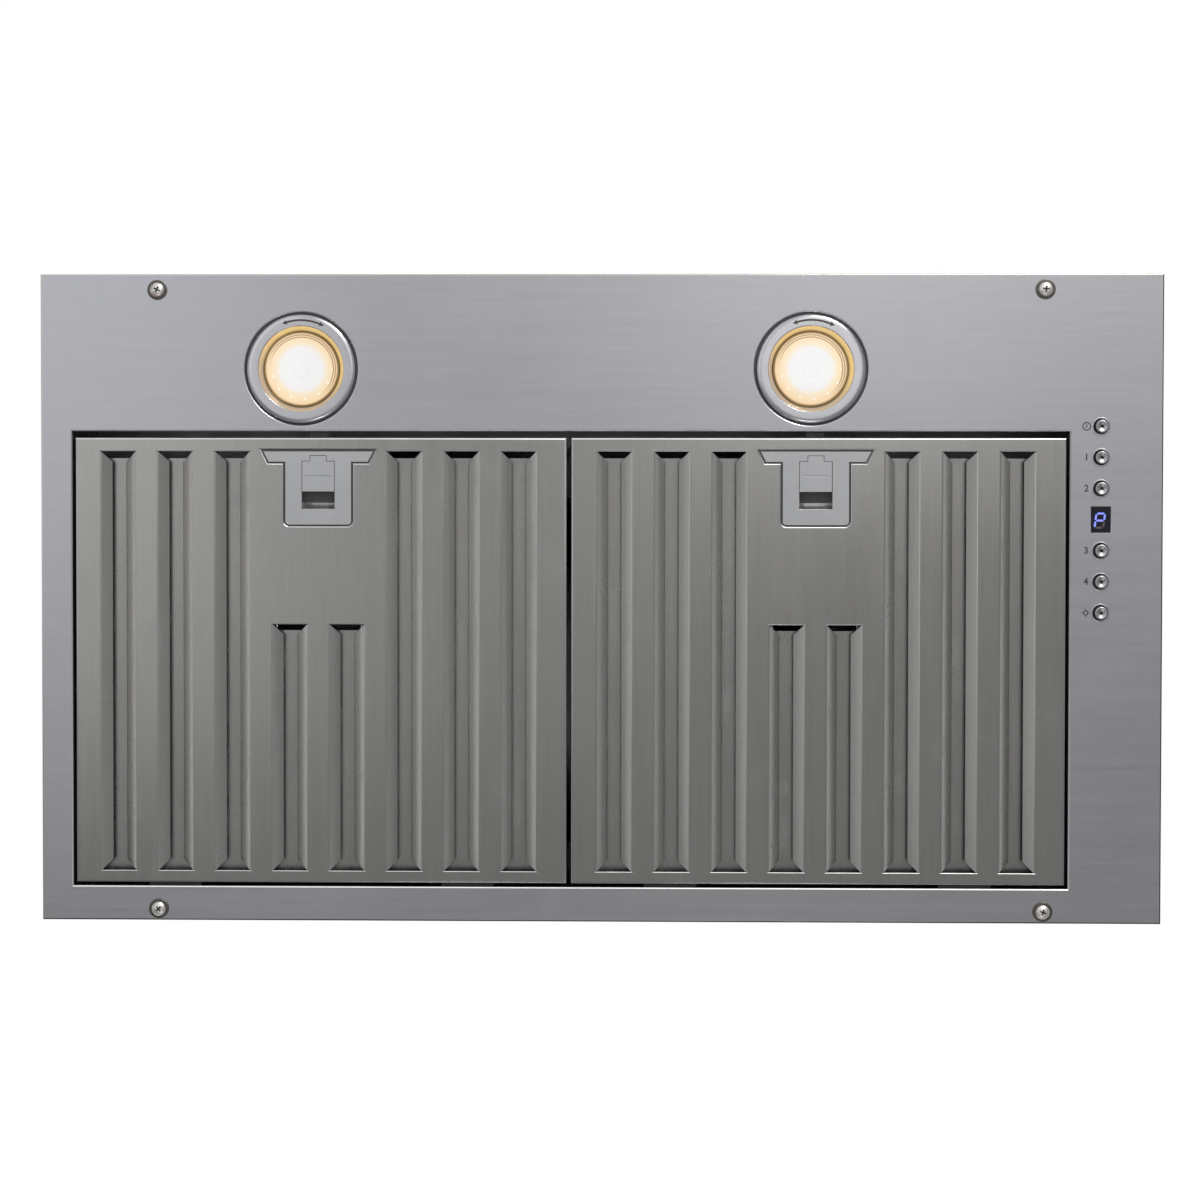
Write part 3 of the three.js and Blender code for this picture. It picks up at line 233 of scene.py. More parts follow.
lampValues = {
    "centres": ((-192.95, -148.4), (136.05, -148.4)),
    "glassRadius": 23.0,
    # share of the glass radius, emitted colour
    "glow": (
        (0.0, (0.83, 0.83, 0.84, 1)), (0.60, (0.83, 0.82, 0.81, 1)), (0.70, (0.88, 0.76, 0.58, 1)),
        (0.84, (0.90, 0.70, 0.44, 1)), (0.97, (0.88, 0.66, 0.40, 1)), (1.0, (0.70, 0.50, 0.28, 1)),
    ),
    "dots": 13, "dotRing": 0.84, "dotSize": 0.05, "lines": (0.895, 0.955), "lineColor": (0.30, 0.17, 0.07, 1),
    # share of the way across the brown rim round the glass, then across the reflector cone on its bright upper and its
    # dim lower side: painted glow colours, standing in for the lamp's light on them
    "bezel": (
        (0.0, (0.80, 0.62, 0.40, 1)), (0.14, (0.60, 0.40, 0.20, 1)), (0.28, (0.13, 0.070, 0.020, 1)),
        (0.75, (0.11, 0.058, 0.016, 1)), (1.0, (0.30, 0.19, 0.06, 1)),
    ),
    "bezelReach": (22.9, 24.5),
    "gold": (
        (0.0, (0.34, 0.20, 0.05, 1)), (0.16, (0.72, 0.46, 0.12, 1)), (0.45, (0.92, 0.70, 0.30, 1)),
        (0.75, (0.76, 0.52, 0.17, 1)), (1.0, (0.42, 0.30, 0.12, 1)),
    ),
    "paleGlow": (
        (0.0, (0.20, 0.14, 0.07, 1)), (0.20, (0.56, 0.48, 0.36, 1)), (0.55, (0.50, 0.45, 0.38, 1)),
        (1.0, (0.28, 0.27, 0.26, 1)),
    ),
    "coneReach": (24.5, 27.6),
}


# place in the nearer lamp's own frame: distance from its axis, turn from 0 to 1, across, along and height
def lampPolar(paint):
    split = paint.add("ShaderNodeSeparateXYZ", {}, {0: paint.add("ShaderNodeTexCoord", output="Object")})
    (leftX, y), (rightX, _) = lampValues["centres"]
    onRight = split.calc("GREATER_THAN", (leftX + rightX) / 2 * mm)
    across = split - leftX * mm - onRight * ((rightX - leftX) * mm)
    along = split.out("Y") - y * mm
    reach = (across * across + along * along).calc("SQRT")
    turned = along.calc("ARCTAN2", across) / (2 * pi) + 0.5
    return reach, turned, across, along, split.out("Z")


def bulbGlass():
    v = lampValues
    paint = Paint("bulbGlass")
    reach, turned, across, along, depth = lampPolar(paint)
    share = reach * (1 / (v["glassRadius"] * mm))

    # thin circle at a share of the radius
    def circle(at, wide, narrow):
        return paint.band((share - at).calc("ABSOLUTE"), wide, narrow)

    aside = ((turned * v["dots"]).calc("FRACT") - 0.5) * (2 * pi * v["dotRing"] / v["dots"])
    off = share - v["dotRing"]
    dot = paint.band((aside * aside + off * off).calc("SQRT"), v["dotSize"], v["dotSize"] * 0.4)
    lower = paint.band(along, -0.004, 0.004)
    upper = paint.band(along * 0.8 - across * 0.5, 0.012, -0.008)
    lit = paint.blend(dot * lower * 0.8, paint.ramp(share, v["glow"]), (1.0, 0.93, 0.84, 1))
    lines = circle(v["lines"][0], 0.022, 0.007) + circle(v["lines"][1], 0.022, 0.007)
    lined = paint.blend(lines * upper * 0.9, lit, v["lineColor"])
    shown = paint.blend(circle(0.22, 0.020, 0.006) * lower * 0.16, lined, (0.45, 0.42, 0.44, 1))
    paint.surface({
        "Base Color": (0.03, 0.03, 0.03, 1),
        "Roughness": 0.10 + dot * 0.1,
        "Emission Color": paint.blend(paint.band(depth, 3.4 * mm, 2.2 * mm), (0, 0, 0, 1), shown),
        "Emission Strength": 1.0,
    })


def goldReflector():
    v = lampValues
    paint = Paint("goldReflector")
    reach, _, across, along, _ = lampPolar(paint)
    ripple = paint.noise((700, 700, 120), 2.0, 0.5)
    # painted glints: brighter swirls mixed into the glow of the cone's upper side
    paintedGlints = paint.noise((110, 110, 20), 2.0, 0.5, (4, 1, 2))
    share = paint.band(reach, *(edge * mm for edge in v["coneReach"]))
    # painted glow: the cone's upper side takes the bright stops and its lower side the dim ones, in place of the lamp's
    # light mirrored in it
    upper = paint.band(across * 0.45 - along * 0.9, -0.014, 0.010)
    lit = paint.blend(upper, paint.ramp(share, v["paleGlow"]), paint.ramp(share, v["gold"]))
    paint.surface({
        "Base Color": paint.blend(ripple, (0.34, 0.22, 0.09, 1), (0.44, 0.31, 0.14, 1)),
        "Metallic": 1.0,
        "Roughness": 0.22 + ripple * 0.1,
        "Emission Color": paint.blend(paintedGlints * upper * 0.5, lit, (1.0, 0.85, 0.50, 1)),
        "Emission Strength": 0.72,
        "Normal": paint.bump(ripple, 0.1, 0.05 * mm),
    })


def bezelBrown():
    v = lampValues
    paint = Paint("bezelBrown")
    reach, _, _, _, depth = lampPolar(paint)
    share = paint.band(reach, *(edge * mm for edge in v["bezelReach"]))
    shade = paint.noise((200, 200, 80), 2.0, 0.5)
    front = paint.band(depth, 2.4 * mm, 1.0 * mm)
    paint.surface({
        "Base Color": paint.blend(shade, (0.05, 0.035, 0.02, 1), (0.11, 0.075, 0.04, 1)),
        "Roughness": 0.25 + shade * 0.15,
        # painted glow on the front of the rim round the glass, in place of the lamp's light falling on it
        "Emission Color": paint.blend(front, (0, 0, 0, 1), paint.ramp(share, v["bezel"])),
        "Emission Strength": 0.9,
    })


def displayGlass():
    paint = Paint("windowBlack")
    smear = paint.noise((120, 60, 120), 4.0, 0.6)
    paint.surface({
        "Base Color": paint.blend(smear, (0.004, 0.005, 0.010, 1), (0.010, 0.011, 0.020, 1)),
        "Roughness": 0.14 + smear * 0.10,
        "Specular IOR Level": 0.2,
    })


def litBar():
    paint = Paint("digitBlue")
    uneven = paint.noise(700, 2.0, 0.5)
    paint.surface({
        "Base Color": (0.05, 0.06, 0.2, 1),
        "Roughness": 0.3 + uneven * 0.1,
        "Emission Color": paint.blend(uneven, (0.13, 0.16, 0.95, 1), (0.30, 0.34, 1.0, 1)),
        "Emission Strength": 1.1,
    })


coatedValues = {
    # name: colour, roughness, metallic, speckle, waves of the texture to the metre and its depth
    "digitDark": ((0.075, 0.045, 0.045, 1), 0.4),
    "latchGrey": ((0.368, 0.373, 0.384, 1), 0.36, 0.85, 0.16, 900, 0.05),
    # a bright silver, as a painted highlight in the finger scoop
    "scoopSilver": ((0.86, 0.86, 0.87, 1), 0.34, 1.0, 0.05, 900, 0.02),
    "satinRing": ((0.43, 0.43, 0.45, 1), 0.25, 1.0, 0.05, 2500, 0.01),
    "buttonChrome": ((0.30, 0.30, 0.31, 1), 0.40, 1.0, 0.05, 1800, 0.01),
    "rimShade": ((0.028, 0.028, 0.030, 1), 0.5, 1.0),
    # a dark steel, as painted shade round the screw heads
    "washerSteel": ((0.10, 0.09, 0.08, 1), 0.42, 1.0, 0.5, 500),
    "shadowGrey": ((0.05, 0.05, 0.052, 1), 0.6),
    "cupBlack": ((0.030, 0.030, 0.032, 1), 0.6),
    "ceramic": ((0.80, 0.77, 0.70, 1), 0.55, 0.0, 0.06, 500, 0.05),
    # black plastic for the black parts, and painted shade on the button sides and dimples
    "blackPlastic": ((0.018, 0.018, 0.020, 1), 0.5, 0.0, 0.2, 900, 0.05),
    "boardGreen": ((0.02, 0.16, 0.07, 1), 0.4, 0.0, 0.2, 300, 0.01),
    "motorGrey": ((0.14, 0.15, 0.16, 1), 0.45, 0.3, 0.15, 600, 0.05),
    "canMetal": ((0.68, 0.69, 0.70, 1), 0.32, 1.0, 0.06, 200, 0.02),
    "leadBrown": ((0.16, 0.065, 0.03, 1), 0.42, 0.0, 0.1, 700, 0.01),
    "leadBlue": ((0.03, 0.09, 0.36, 1), 0.42, 0.0, 0.1, 700, 0.01),
    "leadBlack": ((0.02, 0.02, 0.022, 1), 0.42, 0.0, 0.1, 700, 0.01),
    "glandGrey": ((0.055, 0.058, 0.062, 1), 0.5, 0.0, 0.15, 900, 0.05),
    "markGrey": ((0.03, 0.028, 0.033, 1), 0.6, 0.0, 0.1, 900, 0.005),
    "arrowBrown": ((0.035, 0.028, 0.024, 1), 0.6, 0.0, 0.1, 900, 0.005),
}


def coated(name, color, roughness, metallic=0.0, speckle=0.12, texture=1400, depth=0.02):
    paint = Paint(name)
    grain = paint.noise(texture, 3.0, 0.6)
    clouds = paint.noise(40, 3.0, 0.6, (2, 1, 5))
    paint.surface({
        "Base Color": paint.shaded(color, (grain - 0.5) * speckle + (clouds - 0.5) * speckle + 1.0),
        "Metallic": metallic,
        "Roughness": roughness + (clouds - 0.5) * 0.14 + (grain - 0.5) * 0.06,
        "Normal": paint.bump(grain, 0.3, depth * mm),
    })


for name in steelValues:
    brushedSteel(name)
for make in (galvanisedSteel, nickelPlate, bulbGlass, goldReflector, displayGlass, litBar, bezelBrown):
    make()
for name, values in coatedValues.items():
    coated(name, *values)
print("finishes made:", len(finishes))

# ---- mesh helpers


def meshFrom(bm, sharp=32, scale=mm):
    bmesh.ops.scale(bm, vec=(scale, scale, scale), verts=bm.verts)
    bmesh.ops.recalc_face_normals(bm, faces=bm.faces)
    mesh = bpy.data.meshes.new("shape")
    bm.to_mesh(mesh)
    bm.free()
    return smoothed(mesh, sharp)


# edges sharper than the angle stay sharp; elsewhere the larger faces set the shading
def smoothed(mesh, sharp):
    for face in mesh.polygons:
        face.use_smooth = True
    mesh.set_sharp_from_angle(angle=radians(sharp))
    holder = held(mesh)
    weigh = holder.modifiers.new("normals", "WEIGHTED_NORMAL")
    weigh.keep_sharp = True
    return plainMesh(holder)


def held(data, name="holder"):
    holder = bpy.data.objects.new(name, data)
    bpy.context.scene.collection.objects.link(holder)
    return holder


def plainMesh(holder):
    view = bpy.context.evaluated_depsgraph_get()
    view.update()
    mesh = bpy.data.meshes.new_from_object(holder.evaluated_get(view))
    bpy.data.objects.remove(holder)
    return mesh


def fit(name, mesh, finish, body, stands=()):
    piece = held(mesh, name)
    mesh.materials.clear()
    for one in (finish,) if isinstance(finish, str) else finish:
        mesh.materials.append(finishes[one])
    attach(piece, body)
    if stands:
        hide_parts(*stands)
    return piece


# each face takes the finish whose number the rule gives for its middle in millimetres and its direction
def faced(piece, rule):
    for polygon in piece.data.polygons:
        polygon.material_index = rule(polygon.center / mm, polygon.normal)


# sine and cosine of each angle in degrees
def dial(angles):
    return [(sin(t), cos(t)) for t in map(radians, angles)]


# angles from the start to the end in equal steps
def sweep(start, end, steps):
    return [start + (end - start) * i / steps for i in range(steps + 1)]


def ring(radius, count, x=0.0, y=0.0, z=0.0):
    return [(x + radius * c, y + radius * s, z) for s, c in dial(sweep(0, 360, count)[:-1])]


def flatRing(radius, count, x=0.0, y=0.0):
    return [point[:2] for point in ring(radius, count, x, y)]


# shell through a list of loops; each shell is closed by itself, and shells are not welded together
def skin(bm, loops, closed=True):
    rows = [[bm.verts.new(point) for point in loop] for loop in loops]
    pairs = list(zip(rows, rows[1:]))
    if closed:
        pairs.append((rows[-1], rows[0]))
    for low, high in pairs:
        for i in range(len(low)):
            j = (i + 1) % len(low)
            bm.faces.new((low[i], low[j], high[j], high[i]))
    return rows


# body turned about an upright axis; a profile that starts and ends on the axis is capped there
def turn(bm, profile, count=96, x=0.0, y=0.0):
    onAxis = profile[0][0] < 1e-9
    body = [(r, z) for r, z in profile if r > 1e-9]
    rows = skin(bm, [ring(r, count, x, y, z) for r, z in body], closed=not onAxis)
    if onAxis:
        for row, z in ((rows[0], profile[0][1]), (rows[-1], profile[-1][1])):
            tip = bm.verts.new((x, y, z))
            for i in range(count):
                bm.faces.new((row[i], row[(i + 1) % count], tip))


# mesh of one turned shape
def spun(profile, count, spot=(0, 0), sharp=32):
    bm = bmesh.new()
    turn(bm, profile, count, *spot)
    return meshFrom(bm, sharp)


def shifted(points, across, up):
    return [(across + a, up + b) for a, b in points]


def arc(cx, cz, radius, start, end, steps=6):
    return [(cx + radius * c, cz + radius * s) for s, c in dial(sweep(start, end, steps))]


def rectangle(x0, x1, y0, y1, grow=0.0):
    x0, x1, y0, y1 = x0 - grow, x1 + grow, y0 - grow, y1 + grow
    return [(x0, y0), (x1, y0), (x1, y1), (x0, y1)]


# counter-clockwise outline moved outwards, with mitred corners
def grown(points, distance):
    out = []
    count = len(points)
    for i in range(count):
        before, here, after = (Vector(points[(i + k) % count]) for k in (-1, 0, 1))
        a = (here - before).normalized()
        b = (after - here).normalized()
        na = Vector((a.y, -a.x))
        middle = (na + Vector((b.y, -b.x))).normalized()
        out.append(tuple(here + middle * (distance / max(0.35, middle.dot(na)))))
    return out


# strip round an outline: each profile point is a distance outwards and a height
def edging(bm, points, profile):
    skin(bm, [[(x, y, z) for x, y in grown(points, d)] for d, z in profile])


def plate(bm, outer, holes, z0, z1):
    flat = bmesh.new()
    for loop in [outer, *holes]:
        verts = [flat.verts.new((x, y, z0)) for x, y in loop]
        for i in range(len(verts)):
            flat.edges.new((verts[i], verts[(i + 1) % len(verts)]))
    bmesh.ops.triangle_fill(flat, edges=flat.edges, use_beauty=True, use_dissolve=False, normal=(0, 0, 1))
    raised = bmesh.ops.extrude_face_region(flat, geom=flat.faces[:])
    lifted = [v for v in raised["geom"] if isinstance(v, bmesh.types.BMVert)]
    bmesh.ops.translate(flat, vec=(0, 0, z1 - z0), verts=lifted)
    addTo(bm, flat)


def addTo(bm, other):
    holder = bpy.data.meshes.new("holder")
    other.to_mesh(holder)
    other.free()
    bm.from_mesh(holder)
    bpy.data.meshes.remove(holder)


# straight bar with any section, between two end outlines of the same length
def loft(bm, ends):
    rows = skin(bm, ends, closed=False)
    bm.faces.new(rows[0])
    bm.faces.new(rows[-1])


# the same flat outline at several heights
def slab(bm, outline, heights):
    loft(bm, [[(x, y, z) for x, y in outline] for z in heights])


def box(bm, x0, x1, y0, y1, z0, z1):
    slab(bm, rectangle(x0, x1, y0, y1), (z0, z1))


# what was drawn upright is laid with its top towards the rear or the right, and moved to its place
def laid(bm, spot, towards="rear"):
    axes = {"rear": ((1, 0, 0), (0, 0, 1), (0, -1, 0)), "right": ((0, 0, 1), (1, 0, 0), (0, 1, 0))}[towards]
    bmesh.ops.transform(bm, matrix=Matrix.Translation(spot) @ Matrix(axes).to_4x4(), verts=bm.verts)


# round wire through a list of points, eased at every corner
def wire(bm, points, radius, count=10, corner=8.0):
    path = [Vector(points[0])]
    for before, here, after in zip(points, points[1:], points[2:]):
        before, here, after = Vector(before), Vector(here), Vector(after)
        a, b = (here + (end - here).normalized() * min(corner, (end - here).length * 0.45) for end in (before, after))
        path += [a * (1 - t) ** 2 + here * (2 * t * (1 - t)) + b * t * t for t in (k / 6 for k in range(7))]
    path.append(Vector(points[-1]))
    side = (path[1] - path[0]).orthogonal().normalized()
    loops = []
    for i, spot in enumerate(path):
        way = (path[min(i + 1, len(path) - 1)] - path[max(i - 1, 0)]).normalized()
        side = (side - way * side.dot(way)).normalized()
        other = way.cross(side)
        loops.append([tuple(spot + side * x + other * y) for x, y, _ in ring(radius, count)])
    loft(bm, loops)


# a node's own solid with its edges rounded, in place of the node
def dressed(node, finish, width=0.3, steps=2, cutY=None):
    bm = bmesh.new()
    bm.from_mesh(frame["nodes"][node].data)
    bmesh.ops.remove_doubles(bm, verts=bm.verts, dist=2e-6)
    bmesh.ops.dissolve_limit(bm, angle_limit=radians(0.6), verts=bm.verts, edges=bm.edges)
    bmesh.ops.recalc_face_normals(bm, faces=bm.faces)
    if cutY is not None:
        everything = bm.verts[:] + bm.edges[:] + bm.faces[:]
        bmesh.ops.bisect_plane(bm, geom=everything, plane_co=(0, cutY, 0), plane_no=(0, 1, 0))
    mesh = bpy.data.meshes.new(node + "_dressed")
    bm.to_mesh(mesh)
    bm.free()
    holder = held(mesh)
    softener = holder.modifiers.new("edges", "BEVEL")
    softener.width = width * mm
    softener.segments = steps
    softener.limit_method = "ANGLE"
    softener.angle_limit = radians(32)
    softener.use_clamp_overlap = True
    finished = smoothed(plainMesh(holder), 40)
    return fit(node + "_dressed", finished, finish, bodyOf[node], [node])


bodyOf = {
    node: body
    for body, nodes in frame["record"]["behaviour"]["bodies"].items()
    for node in nodes
}

# ---- one Geometry Nodes tree for what repeats: a shape on every point, turned by two directions


def scatterTree():
    tree = bpy.data.node_groups.new("scatter", "GeometryNodeTree")
    sockets = {
        label: tree.interface.new_socket(label, in_out="INPUT", socket_type="NodeSocket" + kind).identifier
        for label, kind in (("Points", "Geometry"), ("Shape", "Object"), ("Finish", "Material"))
    }
    tree.interface.new_socket("Geometry", in_out="OUTPUT", socket_type="NodeSocketGeometry")
    grow = Tree(tree)
    given = grow.add("NodeGroupInput")
    facing, along = (
        grow.add("GeometryNodeInputNamedAttribute", {"data_type": "FLOAT_VECTOR"}, {"Name": name})
        for name in ("facing", "along")
    )
    align = "FunctionNodeAlignRotationToVector"
    upright = grow.add(align, {"axis": "Z"}, {"Vector": facing})
    turned = grow.add(align, {"axis": "X", "pivot_axis": "Z"}, {"Rotation": upright, "Vector": along})
    shape = grow.add("GeometryNodeObjectInfo", {}, {"Object": given.out("Shape")}, "Geometry")
    copies = grow.add(
        "GeometryNodeInstanceOnPoints", {},
        {"Points": given.out("Points"), "Instance": shape, "Rotation": turned},
    )
    real = grow.add("GeometryNodeRealizeInstances", {}, {0: copies})
    dyed = grow.add("GeometryNodeSetMaterial", {}, {"Geometry": real, "Material": given.out("Finish")})
    grow.add("NodeGroupOutput", {}, {"Geometry": dyed})
    return tree, sockets


scatter, scatterSockets = scatterTree()


# places: (spot in millimetres, direction the shape's Z takes, direction its X takes)
def scattered(shape, places, finish, sharp=34):
    points = bpy.data.meshes.new("places")
    points.from_pydata([tuple(c * mm for c in spot) for spot, _, _ in places], [], [])
    for name, k in (("facing", 1), ("along", 2)):
        field = points.attributes.new(name, "FLOAT_VECTOR", "POINT")
        for i, place in enumerate(places):
            field.data[i].vector = place[k]
    pattern = held(shape)
    holder = held(points)
    maker = holder.modifiers.new("scatter", "NODES")
    maker.node_group = scatter
    maker[scatterSockets["Shape"]] = pattern
    maker[scatterSockets["Finish"]] = finishes[finish]
    mesh = smoothed(plainMesh(holder), sharp)
    bpy.data.objects.remove(pattern)
    return mesh


# ---- face panel

panelValues = {
    "width": 724, "depth": 419, "face": -2.4, "inner": -1.2, "fold": 1.1, "hem": 1.2,
    "opening": (-341.5, 302, -108, 187), "lipTop": 3.8, "lipSheet": 1.2,
    "lampHole": 36.2, "lampRoll": 1.3,
    "buttonX": 322.2, "displayY": -51.4, "buttonPitch": 20, "buttonHole": 4.95,
    "window": (5.9, 8.0), "windowGap": 0.25, "screwHole": 2.3,
    "screws": ((-286, -199.3), (286, -199.3), (-286, 201.8), (286, 201.8)),
}
buttonSteps = {"power": -3, "speed_1": -2, "speed_2": -1, "speed_3": 1, "speed_4": 2, "lamp": 3}
buttonSpots = {
    name: (panelValues["buttonX"], panelValues["displayY"] + step * panelValues["buttonPitch"])
    for name, step in buttonSteps.items()
}


# rectangle about the middle of the display
def aboutDisplay(halfX, halfY):
    x, y = panelValues["buttonX"], panelValues["displayY"]
    return rectangle(x - halfX, x + halfX, y - halfY, y + halfY)


def facePanel():
    v = panelValues
    face, inner, fold = v["face"], v["inner"], v["fold"]
    x, y = v["width"] / 2, v["depth"] / 2
    lampHole, roll, keyHole = v["lampHole"], v["lampRoll"], v["buttonHole"]
    bm = bmesh.new()
    window = aboutDisplay(*(half + v["windowGap"] for half in v["window"]))
    holes = [rectangle(*v["opening"], grow=fold)]
    holes += [flatRing(lampHole + roll, 96, *spot) for spot in lampValues["centres"]]
    holes += [flatRing(keyHole + 1.0, 40, *spot) for spot in buttonSpots.values()]
    holes += [flatRing(v["screwHole"], 20, *spot) for spot in v["screws"]]
    holes.append(grown(window, 0.5))
    plate(bm, rectangle(-x, x, -y, y, grow=-fold), holes, face, inner)
    # folded outer rim
    outer = arc(-fold, face + fold, fold, -90, 0, 8)
    edging(bm, rectangle(-x, x, -y, y), outer + [(0, 0), (-v["hem"], 0), (-v["hem"], inner), (-fold, inner)])
    # rolled edge of the filter opening, with its lips on three sides
    edging(bm, rectangle(*v["opening"]), arc(fold, face + fold, fold, -90, -180, 8) + [(0, inner), (fold, inner)])
    left, right, front, rear = v["opening"]
    sheet = v["lipSheet"]
    lips = [
        (left - sheet, front - sheet), (right + sheet, front - sheet), (right + sheet, rear), (right, rear),
        (right, front), (left, front), (left, rear), (left - sheet, rear),
    ]
    plate(bm, lips, [], inner, v["lipTop"])
    for spot in lampValues["centres"]:
        profile = arc(lampHole + roll, face + roll, roll, -90, -180, 8)
        turn(bm, profile + [(lampHole, inner), (lampHole + roll, inner)], 96, *spot)
    bulge = shifted(((1.0, 0), (0.75, -0.08), (0.45, -0.12), (0.15, -0.08), (0, 0.1)), keyHole, face)
    for spot in buttonSpots.values():
        turn(bm, bulge + [(keyHole, inner), (keyHole + 1.0, inner)], 40, *spot)
    edging(bm, window, [(0.5, face), (0.2, face + 0.08), (0, face + 0.35), (0, inner), (0.5, inner)])
    return meshFrom(bm, 28)


# painted light: the rim's far side gets painted shade, its near side a paler steel and the opening's rear edge a pale
# steel, both as painted highlights
def panelFinish(middle, facing):
    v = panelValues
    reach = 1.3
    atRim = abs(middle.x) > v["width"] / 2 - reach or abs(middle.y) > v["depth"] / 2 - reach
    atRear = abs(middle.y - v["opening"][3]) < reach
    if (atRim or atRear) and -0.97 < facing.z < 0.3:
        if facing.x < -0.2 or facing.y < -0.2:
            return 3 if atRim else 1
        if atRim and (facing.x > 0.2 or facing.y > 0.2):
            return 2
    return 0


panelSteels = ("faceSteel", "edgeSteel", "rimShade", "lipSteel")
faced(fit("face_panel_sheet", facePanel(), panelSteels, "housing", ["face_panel"]), panelFinish)
print("face panel made")

# ---- panel screws: pan head with a cross recess and a washer

screwValues = {
    "head": 4.6, "height": 2.6, "brim": 0.7, "washer": 6.4, "washerSheet": 1.0, "shank": 2.0, "length": 22,
    "arm": 0.60, "slit": 0.13,  # shares of the head's radius
    # how far each screw is turned
    "spins": {"front_left": 0.5, "front_right": 0.1, "rear_left": 0.85, "rear_right": 0.3},
}


def panelScrew(spot, spin):
    v = screwValues
    face, radius, rim, length = panelValues["face"], v["head"], v["washer"], v["length"]
    under = face - v["washerSheet"]
    top = under - v["height"]
    head = bmesh.new()
    rise = v["height"] - v["brim"]
    dome = [(radius * s, under - v["brim"] - rise * c) for s, c in dial((15, 30, 45, 60, 72, 82))]
    turn(head, [(0, top)] + dome + [
        (radius, under - 0.6), (radius, under - 0.1), (radius - 0.2, under),
        (rim - 0.35, under + 0.02), (rim, under + 0.3), (rim, face - 0.05),
        (rim - 0.1, face), (v["shank"], face), (v["shank"], length - 2), (0, length),
    ], 48)
    solid = held(meshFrom(head, 30, 1.0))
    cross = bmesh.new()
    arm, slit = radius * v["arm"], radius * v["slit"]

    def plus(reach, half, z):
        corner = [(reach, -half), (reach, half), (half, half)]
        return [(x * c - y * s, x * s + y * c, z) for s, c in dial((0, 90, 180, 270)) for x, y in corner]

    loft(cross, [plus(arm, slit, top - 1), plus(arm * 0.5, slit * 0.55, top + v["height"] * 0.6)])
    tool = held(meshFrom(cross, 30, 1.0))
    knife = solid.modifiers.new("cross", "BOOLEAN")
    knife.object = tool
    knife.operation = "DIFFERENCE"
    knife.solver = "EXACT"
    mesh = plainMesh(solid)
    bpy.data.objects.remove(tool)
    placed = Matrix.Translation((spot[0] * mm, spot[1] * mm, 0)) @ Matrix.Rotation(spin, 4, "Z")
    mesh.transform(placed @ Matrix.Scale(mm, 4))
    return smoothed(mesh, 32)


for (place, spin), spot in zip(screwValues["spins"].items(), panelValues["screws"]):

    # the washer in dark steel and the cross recess in dark grey, both as painted shade, and the dome
    def screwFinish(middle, facing):
        v = screwValues
        low = panelValues["face"] - v["washerSheet"]
        off = hypot(middle.x - spot[0], middle.y - spot[1])
        share = sqrt(max(0.0, 1 - (off / v["head"]) ** 2))
        dome = low - v["brim"] - (v["height"] - v["brim"]) * share
        return 1 if middle.z > low - 0.65 else 2 if middle.z > dome + 0.25 else 0

    screwSteels = ("nickel", "washerSteel", "shadowGrey")
    screw = fit("pan_screw_" + place, panelScrew(spot, spin), screwSteels, "housing", ["screw_" + place])
    faced(screw, screwFinish)
print("panel screws made")

# ---- lamps

ringValues = {
    "fall": 3.0, "drop": 1.5,
    "radius": 35, "inner": 27.5, "proud": 1.4, "sleeve": 30.5, "sleeveTop": 11, "coneEnd": 24.8, "coneTop": 2.5,
    "back": -1.5, "lug": (32.1, 4.5, 5.8, 8.1),
    "markRadius": 31.3, "markSpan": (-17, 23), "markWidth": 1.25, "arrow": 3.1, "arrowHalf": 1.5,
    "markHeights": (-0.03, 0.02),
}
ringFace = panelValues["face"] - ringValues["proud"]


def ringMesh(x, y):
    v = ringValues
    back, radius, sleeve, top, inner = v["back"], v["radius"], v["sleeve"], v["sleeveTop"], v["inner"]
    bm = bmesh.new()
    outer = [
        (radius - v["fall"] * (1 - s), ringFace + v["drop"] * (1 - c)) for s, c in dial(sweep(0, 90, 10))
    ]
    turn(bm, arc(inner + 0.6, ringFace + 0.6, 0.6, -180, -90, 4) + outer + [
        (radius, back), (sleeve, back), (sleeve, top), (sleeve - 1.2, top),
        (sleeve - 1.2, 1.5), (inner + 0.5, back), (inner, ringFace + 1.4),
    ], 128, x, y)
    end, half, low, high = v["lug"]
    for i in range(3):
        lug = bmesh.new()
        box(lug, sleeve - 0.6, end, -half, half, low, high)
        bmesh.ops.rotate(lug, matrix=Matrix.Rotation(radians(120 * i), 3, "Z"), verts=lug.verts)
        bmesh.ops.translate(lug, vec=(x, y, 0), verts=lug.verts)
        addTo(bm, lug)
    return meshFrom(bm, 30)


def coneMesh(*spot):
    v = ringValues
    low = ringFace + 0.9
    inside = [
        (v["inner"] - 0.05 - (v["inner"] - v["coneEnd"]) * share ** 0.75, low + (v["coneTop"] - low) * share)
        for share in (i / 8 for i in range(9))
    ]
    return spun(inside + shifted(inside[::-1], 0.5, 0.1), 128, spot, 40)


# double-headed arrow for the twist, on the ring's face
def twistMark(x, y):
    v = ringValues
    low, high = (ringFace + rise for rise in v["markHeights"])
    steps, radius, half, wide = 28, v["markRadius"], v["markWidth"] / 2, v["arrowHalf"]
    start, end = v["markSpan"]
    turns = dial(sweep(start - 90, end - 90, steps))
    bm = bmesh.new()
    section = [(r, z) for r, z in rectangle(radius - half, radius + half, low, high)]
    loft(bm, [[(x + r * c, y + r * s, z) for r, z in section] for s, c in turns])
    for (s, c), way in ((turns[0], -1), (turns[-1], 1)):
        tip = (radius * c - way * s * v["arrow"], radius * s + way * c * v["arrow"])
        head = (tip, *((r * c, r * s) for r in (radius - wide, radius + wide)))
        slab(bm, shifted(head, x, y), (low, high))
    return meshFrom(bm, 60)


bulbValues = {"radius": 24.4, "face": 0.4, "glass": 23.0, "height": 49, "pin": 1.6, "pinGap": 10}


